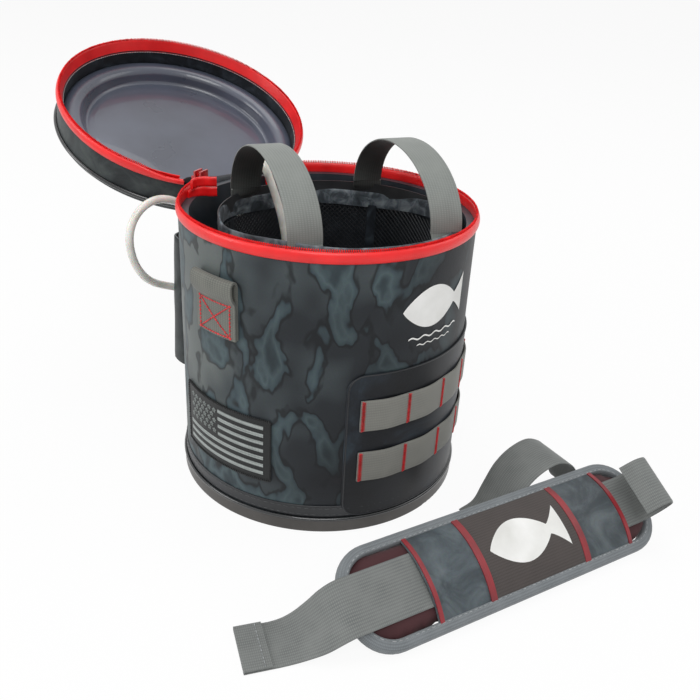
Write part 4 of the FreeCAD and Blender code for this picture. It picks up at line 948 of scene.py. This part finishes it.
def pocket_skin(name, low, high, proud, material, thickness, floor):
    """Bag front from side seam to side seam; it sags outward at the foot."""
    rows = []
    heights = steps(low, high, 22)
    for angle, out in pocket_turn:
        row = []
        for z in heights:
            reach = 25.0 - 5.0 * (z - POCKET[2]) / (POCKET[3] - POCKET[2])
            crease = 0.7 * ripple(polar(130, angle, z), 26, 4.0)
            row.append(polar(SHELL_RADIUS + (reach + proud + crease) * out, angle, z))
        if floor:
            row = [polar(SHELL_RADIUS - 0.2, angle, low + 1.0)] + row
        rows.append(row)
    piece = grid_piece(name, rows, lambda i, j: (2.6 * i, 5.0 * j), material)
    first = piece.data.polygons[0]
    return thickened(piece, thickness, -1 if first.normal.dot(first.center) > 0 else 1)


hand_over(pocket_skin("pump_pocket_bag", POCKET[2], POCKET[3], 0, lid_print, 1.2, True),
          "bucket", "dark_fabric", "pump_pocket")
hand_over(pocket_skin("pocket_hem_band", POCKET[3] - 8, POCKET[3] + 0.3, 0.8, binding_tape, 0.8, False),
          "bucket", "grey_webbing", "pocket_hem")


# Bait net: wavy collar, knotted mesh, seam tapes, floor, handle tails and handles

def in_net(point):
    """A point described round the net's own axis."""
    return NET_PLACE + point


def collar_wave(angle, radius, height):
    """The hem rises towards the front left and is a little slack."""
    wave = COLLAR_DIP * math.cos(math.radians(angle - 50)) + 0.8 * math.sin(math.radians(5 * angle))
    slack = 0.9 * math.sin(math.radians(7 * angle + 40)) + 0.5 * ripple(polar(radius, angle, height), 14, 6.0)
    return radius + slack, height - wave


collar_profile = eased([(92.0, COLLAR_TOP - COLLAR_HEIGHT), (92.3, COLLAR_TOP - 6), (92.0, COLLAR_TOP - 1.2),
                        (91.0, COLLAR_TOP), (90.0, COLLAR_TOP - 1.2), (89.7, COLLAR_TOP - 6),
                        (90.0, COLLAR_TOP - COLLAR_HEIGHT)], 3)
hand_over(turned("net_collar_hem", collar_profile, collar_print, count=220, shape=collar_wave, place=in_net),
          "net", "dark_fabric", "net_collar")
STRAND_COUNT = 130
net_top = COLLAR_TOP - COLLAR_HEIGHT + 2
net_rise = net_top - COLLAR_DIP - NET_FOOT
twist = math.degrees((net_top - NET_FOOT) / NET_RADIUS)
net_lines = []
for k in range(STRAND_COUNT):
    start = 360 * k / STRAND_COUNT
    for way, radius in ((1, NET_RADIUS - 0.3), (-1, NET_RADIUS + 0.3)):
        net_lines.append([in_net(polar(radius, start + way * twist * t, NET_FOOT + net_rise * t))
                          for t in steps(0, 1, 22)])
hand_over(along_lines("net_mesh", net_lines, STRANDS, net_nylon, Radius=0.42, Sides=4),
          "net", "mesh_black", "net_wall")
floor_lines = []
for offset in steps(-86, 86, 43):
    reach = math.sqrt(NET_RADIUS ** 2 - offset ** 2)
    floor_lines.append([in_net(Vector((offset, y, NET_FOOT))) for y in (-reach, reach)])
    floor_lines.append([in_net(Vector((x, offset, NET_FOOT + 0.4))) for x in (-reach, reach)])
floor_lines.append([in_net(polar(NET_RADIUS, a, NET_FOOT)) for a in steps(0, 360, 90)])
hand_over(along_lines("net_floor_mesh", floor_lines, STRANDS, net_nylon, Radius=0.42, Sides=4),
          "net", "mesh_black", "net_floor")
tapes = []
for k in range(8):
    angle = 22.5 + 45 * k
    line = [in_net(polar(NET_RADIUS - 1.2, angle, z)) for z in steps(NET_FOOT, net_top - COLLAR_DIP, 12)]
    tapes.append(webbing("tape", line, [polar(1, angle + 90)] * len(line), 8, 0.8, lining))
hand_over(joined("net_seam_tapes", tapes), "net", "dark_fabric")


def with_painted_shade(piece, middle):
    """The piece with a darker copy of the webbing, painted as shade, on the faces that look towards a point: its
    inner and under sides.
    """
    piece.data.materials.append(painted_shade_webbing)
    for face in piece.data.polygons:
        face.material_index = int(face.normal.dot(face.center - middle * MM) < 0)
    return piece


chord = polar(1, HANDLE_TURN)
offset_way = polar(1, HANDLE_TURN - 90)
tails = []
for label, way in (("right", 1), ("left", -1)):
    middle = way * HANDLE_OFFSET * offset_way + FOLD_HEIGHT * UP
    arch = [in_net(middle) + HANDLE_SPAN * math.cos(t) * chord + HANDLE_RISE * math.sin(t) * UP
            for t in steps(0, math.pi, 48)]
    handle = webbing("net_handle." + label, arch, [offset_way] * len(arch), HANDLE_WIDTH, HANDLE_WALL, handle_webbing)
    hand_over(with_painted_shade(handle, in_net(middle)), "handle_" + label, "grey_webbing", "handle_" + label)
    for end in (1, -1):
        foot = middle + end * HANDLE_SPAN * chord
        angle = math.degrees(math.atan2(foot.y, foot.x))
        outside = end == 1
        heights = ((FOLD_HEIGHT + 0.6, foot.xy.length, 0), (211, foot.xy.length + (1.2 if outside else 0.3), 0.3),
                   (206, 92.6 if outside else 89.0, 0.7), (201, 93.6 if outside else 89.2, 1),
                   (194, 93.4 if outside else 89.2, 1))
        line = eased([in_net(polar(r, angle, z)) for z, r, _ in heights], 4)
        turns = eased([(t, 0, 0) for _, _, t in heights], 4)
        acrosses = [offset_way.lerp(polar(1, angle + 90) * (1 if polar(1, angle + 90).dot(offset_way) > 0 else -1),
                                    min(1, max(0, t.x))).normalized() for t in turns]
        tails.append(webbing("tail", line, acrosses, HANDLE_WIDTH - 0.4, 1.2, handle_webbing))
hand_over(with_painted_shade(joined("handle_tail_ends", tails), NET_PLACE), "net", "grey_webbing", "handle_tails")


# Shoulder strap: padded base, binding, sleeve, trims and webbing

def rounded(a, b, length, width, corner):
    """Point of a rounded rectangle from a square's coordinates, each from -1 to 1."""
    x, y = a * length / 2, b * width / 2
    dx, dy = abs(x) - (length / 2 - corner), abs(y) - (width / 2 - corner)
    if dx > 0 and dy > 0:
        pull = max(dx, dy) / math.hypot(dx, dy)
        x = math.copysign(length / 2 - corner + dx * pull, x)
        y = math.copysign(width / 2 - corner + dy * pull, y)
    return x, y


def pad_skin(name, inset, crown, material):
    """Closed crowned pad: a top and a bottom sheet that meet at the edge."""
    rows = []
    count, across = 60, 20
    for i in range(count + 1):
        a = -1 + 2 * i / count
        ring = []
        for j in range(2 * across):
            b = -1 + 2 * j / across if j <= across else 3 - 2 * j / across
            x, y = rounded(a, b, PAD_LENGTH - 2 * inset, PAD_WIDTH - 2 * inset, PAD_CORNER - inset)
            full = (1 - a ** 8) * (1 - b ** 2) ** 0.7
            top = PAD_EDGE - 1.5 + (crown - PAD_EDGE + 1.5) * full
            ring.append(leant(x, y, top if 0 < j < across else 0.6 if j > across else PAD_EDGE / 2))
        rows.append(ring)
    return grid_piece(name, rows, lambda i, j: (i * 4.4, j * 3.5), material, ring_columns=True, capped=True)


def swollen(piece, cap):
    """The pad's skin after a short cloth run under inner pressure; no point moves further than the cap."""
    skin = piece.modifiers.new("skin", "REMESH")
    skin.mode = "VOXEL"
    skin.voxel_size = PAD_VOXEL * MM
    even = as_seen(piece)
    piece.modifiers.remove(skin)
    piece.data = even
    start = [v.co.copy() for v in even.vertices]
    cloth = piece.modifiers.new("fill", "CLOTH")
    cloth.settings.use_pressure = True
    cloth.settings.uniform_pressure_force = PAD_PRESSURE
    cloth.settings.effector_weights.gravity = 0.0
    scene = bpy.context.scene
    for number in range(1, PAD_FRAMES + 1):
        scene.frame_set(number)
    full = as_seen(piece)
    piece.modifiers.remove(cloth)
    scene.frame_set(1)
    for vertex, rest in zip(full.vertices, start):
        move = vertex.co - rest
        if move.length > cap * MM:
            move *= cap * MM / move.length
        vertex.co = rest + move
        vertex.co.z = max(vertex.co.z, 0.3 * MM)
    piece.data = full
    full.shade_smooth()
    return piece


pad = pad_skin("shoulder_pad", BINDING_WIDTH / 2, PAD_CROWN - 1.5, maroon_cloth)
swollen(pad, PAD_SWELL)
finer = pad.modifiers.new("finer", "SUBSURF")
finer.levels = finer.render_levels = 1
hand_over(pad, "shoulder_strap", "maroon_fabric", "pad_base")

closed = rounded_line(PAD_LENGTH, PAD_WIDTH, PAD_CORNER, 10, 5)
bead = eased([(-BINDING_WIDTH, 9.0), (-4.0, 9.7), (-1.2, 9.2), (0.0, 6.8), (0.1, 3.0), (-1.0, 0.6), (-4, 0.3),
              (-BINDING_WIDTH, 0.4)], 3, ring=True)
rows = []
for base, way in closed[:-1]:
    pucker = 0.25 * ripple(base, 6, 8.0)
    rows.append([leant(*(base + (PAD_CORNER + s) * way).xy, h + pucker) for s, h in bead])
edge_run = running([base + PAD_CORNER * way for base, way in closed])
bead_run = running([Vector((s, h, 0)) for s, h in bead + bead[:1]])
hand_over(grid_piece("pad_edge_binding", rows, lambda i, j: (edge_run[i], bead_run[j]), binding_tape,
                     ring_rows=True, ring_columns=True), "shoulder_strap", "grey_webbing", "pad_binding")
sewn = [[leant(*(base + (PAD_CORNER - BINDING_WIDTH + 1.6) * way).xy, 9.75) for base, way in closed]]
hand_over(along_lines("binding_stitches", sewn, STITCHES, grey_thread, Pitch=4.2, Length=3.2, Radius=0.32),
          "shoulder_strap", "grey_webbing")


def sleeve_height(along, across, proud=0.0):
    """Top of the sleeve, crowned over the webbing and a little uneven."""
    share = min(1, abs(across) / (SLEEVE_WIDTH / 2))
    crown = 1 - share ** 2.2
    return SLEEVE_EDGE + (SLEEVE_TOP - SLEEVE_EDGE) * crown + proud + 0.25 * ripple((along, across, 0), 22, 9.0)


def sleeve_sheet(name, start, end, proud, thickness, material, half_width=SLEEVE_WIDTH / 2, count=40):
    """A length of cloth over the sleeve's crown."""
    sides = steps(-half_width, half_width, 20)
    rows = []
    for along in steps(start, end, count):
        top = [leant(along + SLEEVE_SHIFT, v, sleeve_height(along, v, proud)) for v in sides]
        under = [leant(along + SLEEVE_SHIFT, v, sleeve_height(along, v, proud) - thickness) for v in reversed(sides)]
        rows.append(top + under)
    marks = sides + sides[::-1]
    return grid_piece(name, rows, lambda i, j: (start + (end - start) * i / count, marks[j % len(marks)]), material,
                      ring_columns=True, capped=True)


half_sleeve = SLEEVE_LENGTH / 2
hand_over(sleeve_sheet("strap_sleeve", -half_sleeve, half_sleeve, 0, 1.2, sleeve_print),
          "shoulder_strap", "shell_print", "pad_sleeve")
hand_over(sleeve_sheet("centre_cover", -CENTRE_PANEL / 2, CENTRE_PANEL / 2, 0.4, 0.6, taupe_cloth),
          "shoulder_strap", "taupe_fabric", "sleeve_centre_panel")
trims = []
for middle, width in TRIMS:
    trims.append(sleeve_sheet("trim", middle - width / 2, middle + width / 2, 0.9, 1.0, trim_red, count=3))
hand_over(joined("sleeve_trim_bands", trims), "shoulder_strap", "red_thread", "sleeve_trims")

half_pad = PAD_LENGTH / 2
over_pad = pad_tilt @ Vector((0, 0, STRAP_TOP)) + pad_lift * UP
strap_knots, strap_sides = [], []
for share, across, lift in FREE_SHARES:
    strap_knots.append(Vector((share * half_pad, over_pad.y + across * PAD_WIDTH,
                               STRAP_FLOOR + lift * (over_pad.z - STRAP_FLOOR))))
    lean = Matrix.Rotation(math.radians(lift * PAD_TILT), 3, "X")
    swing = Matrix.Rotation(math.radians((lift - 1) * FREE_TURN), 3, "Z")
    strap_sides.append(pad_turn @ swing @ lean @ Vector((0, 1, 0)))
for share, rise in CURL_SHARES:
    strap_knots.append(over_pad + share * half_pad * Vector((1, 0, 0)) + pad_tilt @ (rise * PAD_WIDTH * UP))
    strap_sides.append(pad_turn @ pad_tilt @ Vector((0, 1, 0)))
strap_line = [on_floor(*p) for p in eased(strap_knots, 7)]
strap_sides = [side.normalized() for side in eased(strap_sides, 7)]
hand_over(webbing("strap_webbing_band", strap_line, strap_sides, STRAP_WIDTH, STRAP_WALL, strap_webbing),
          "shoulder_strap", "grey_webbing", "strap_webbing")
hem_way = (strap_line[1] - strap_line[0]).normalized()
hem_line = [strap_line[0] + run * hem_way + STRAP_WALL * UP for run in steps(0, 18, 6)]
hand_over(webbing("strap_hem", hem_line, strap_sides[:1] * len(hem_line), STRAP_WIDTH, STRAP_WALL, strap_webbing),
          "shoulder_strap", "grey_webbing", "strap_end_hem")
hem_sewn = [[hem_line[0] + 13.5 * hem_way + v * strap_sides[0] + 0.85 * UP for v in steps(-17, 17, 12)]]
hand_over(along_lines("hem_stitches", hem_sewn, STITCHES, grey_thread, Pitch=3.0, Length=2.4, Radius=0.35),
          "shoulder_strap", "grey_webbing")
pad_back = (pad_tilt @ Vector((0, PAD_WIDTH / 2 - BINDING_ROUND, BINDING_ROUND))).y + BINDING_ROUND
tail_line = [(s * half_pad, 0, STRAP_FLOOR + rise * PAD_WIDTH) for s, rise in TAIL_SHARES]
tail_line = [on_floor(p.x, pad_back + STRAP_WIDTH / 2 + TAIL_ROOM, p.z) for p in eased(tail_line, 7)]
tail_side = pad_turn @ Vector((0, 1, 0))
hand_over(webbing("strap_tail_band", tail_line, [tail_side] * len(tail_line), STRAP_WIDTH, STRAP_WALL, strap_webbing),
          "shoulder_strap", "grey_webbing", "webbing_tail")


# Printed fish pictogram in the places that carry print

def fish_mark(name, length, put, material):
    """Plain fish outline filled with ink; put(x, y) lays a point of the flat print on its surface."""
    rows = []
    for s in steps(0, 1, 44):
        body = 0.24 * math.sin(math.pi * min(1, s / 0.84)) ** 0.8
        tail = 0.035 + 0.2 * max(0, (s - 0.76) / 0.24) ** 1.3
        half = max(body, tail if s > 0.5 else 0.004)
        rows.append([put((s - 0.5) * length, b * half * length) for b in steps(-1, 1, 10)])
    return grid_piece(name, rows, lambda i, j: (i, j), material)


def wave_mark(name, length, drop, put, material):
    """A wavy printed line under the fish."""
    rows = []
    for s in steps(0, 1, 60):
        middle = -drop + 0.018 * length * math.sin(4.5 * math.tau * s)
        rows.append([put((s - 0.5) * length, middle + w) for w in (-0.012 * length, 0.012 * length)])
    return grid_piece(name, rows, lambda i, j: (i, j), material)


PRINT_ANGLE, PRINT_HEIGHT = -94.5, 176.0


def on_wall(x, y):
    """A point of the wall's print."""
    return polar(SHELL_RADIUS + 0.12, PRINT_ANGLE + math.degrees(x / SHELL_RADIUS), PRINT_HEIGHT + y)


def on_sleeve(x, y):
    """A point of the sleeve's print."""
    return leant(x + SLEEVE_SHIFT, y, sleeve_height(x, y, 0.55))


for label, length, put, body in (("wall", 64, on_wall, "bucket"), ("sleeve", 66, on_sleeve, "shoulder_strap")):
    marks = [fish_mark("fish", length, put, white_print)]
    marks += [wave_mark("wave", length * share, 0.34 * length + 0.09 * length * k, put, white_print)
              for k, share in enumerate((0.8, 0.55) if label == "wall" else ())]
    hand_over(joined("fish_print." + label, marks), body, "shell_print")

# Finishes of the solids that stay
solid_finish = {
    tub_plastic: ["base_tub"],
    welt_gloss: ["base_welt", "lid_welt"],
    foam: ["foam_sleeve", "base_foam", "lid_foam"],
    liner: ["inner_liner"],
    panel_print: ["front_panel"],
    slider_metal: ["slider_body", "slider_pull"],
    hose_vinyl: ["hose_port", "port_nut"],
    pump_plastic: ["pump_case_back", "pump_case_front", "pump_diaphragm", "pump_nozzle", "collar_stiffener"],
    red_plastic: ["pump_switch"],
    motor_steel: ["pump_motor"],
    cell_wrap: ["pump_cell"],
    stone_grain: ["air_stone"],
    net_nylon: ["stone_barb"],
}
for material, nodes in solid_finish.items():
    for node in nodes:
        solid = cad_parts[node]
        if not solid.material_slots:
            solid.data.materials.append(material)
        for slot in solid.material_slots:
            slot.material = material

# Camera, as the photograph was taken
CAMERA_PLACE = Vector((-455.4, -394.7, 404.5))
CAMERA_LOOK = Vector((0.694, 0.558, -0.455))
CAMERA_ROLL = 3.28
PHOTO_WIDTH = 700
FOCAL_PIXELS = 823.9
lens = bpy.data.cameras.new("camera")
lens.sensor_width = 36.0
lens.lens = lens.sensor_width * FOCAL_PIXELS / PHOTO_WIDTH
lens.clip_start = 0.01
camera = shown("camera", lens)
camera_turn = CAMERA_LOOK.to_track_quat("-Z", "Y").to_matrix().to_4x4()
camera.matrix_world = (Matrix.Translation(CAMERA_PLACE * MM) @ camera_turn
                       @ Matrix.Rotation(math.radians(CAMERA_ROLL), 4, "Z"))
bpy.context.scene.camera = camera


# Studio: pale floor, soft lamps and an even white surround

def seen_rays(tree):
    """1 for rays from the camera, and for those seen in or through a surface."""
    rays = add(tree, "ShaderNodeLightPath")
    seen = rays.outputs["Is Camera Ray"]
    for kind in ("Is Glossy Ray", "Is Transmission Ray"):
        seen = reckoned(tree, "MAXIMUM", seen, rays.outputs[kind])
    return seen


floor_mesh = bpy.data.meshes.new("studio_floor")
FLOOR_REACH = 8.0
floor_mesh.from_pydata([(x * FLOOR_REACH, y * FLOOR_REACH, 0) for x, y in ((-1, -1), (1, -1), (1, 1), (-1, 1))],
                       [], [(0, 1, 2, 3)])
floor = shown("studio_floor", floor_mesh)
paper = bpy.data.materials.new("white_studio_paper")
tree = fresh(paper)
matt = add(tree, "ShaderNodeBsdfDiffuse", {"Color": linear("f4f4f4")})
glow = add(tree, "ShaderNodeEmission", {"Color": linear("ffffff"), "Strength": 1.0})
PAPER_GLOW = 0.92
sheet = add(tree, "ShaderNodeMixShader", {
    0: reckoned(tree, "MULTIPLY", seen_rays(tree), PAPER_GLOW), 1: matt.outputs[0], 2: glow.outputs[0]})
add(tree, "ShaderNodeOutputMaterial", {"Surface": sheet.outputs[0]})
floor_mesh.materials.append(paper)

world = bpy.data.worlds.new("studio")
bpy.context.scene.world = world
tree = fresh(world)
fill = add(tree, "ShaderNodeBackground", {"Color": linear("ffffff"), "Strength": 0.36})
white = add(tree, "ShaderNodeBackground", {"Color": linear("ffffff"), "Strength": 1.0})
sky = add(tree, "ShaderNodeMixShader", {0: seen_rays(tree), 1: fill.outputs[0], 2: white.outputs[0]})
add(tree, "ShaderNodeOutputWorld", {"Surface": sky.outputs[0]})

for name, place, size, power in (
        ("key_lamp", (-1.5, -1.3, 2.4), 1.5, 38.0),
        ("left_lamp", (-1.9, 1.5, 1.3), 1.2, 20.0),
        ("side_lamp", (1.7, -1.3, 1.6), 1.4, 9.0),
        ("top_lamp", (0.2, 0.6, 2.8), 1.8, 20.0)):
    light = bpy.data.lights.new(name, "AREA")
    light.size = size
    light.energy = power
    lamp = shown(name, light)
    lamp.location = place
    lamp.rotation_euler = (Vector((0, 0, 0.12)) - Vector(place)).to_track_quat("-Z", "Y").to_euler()

bpy.context.scene.view_settings.view_transform = "Standard"
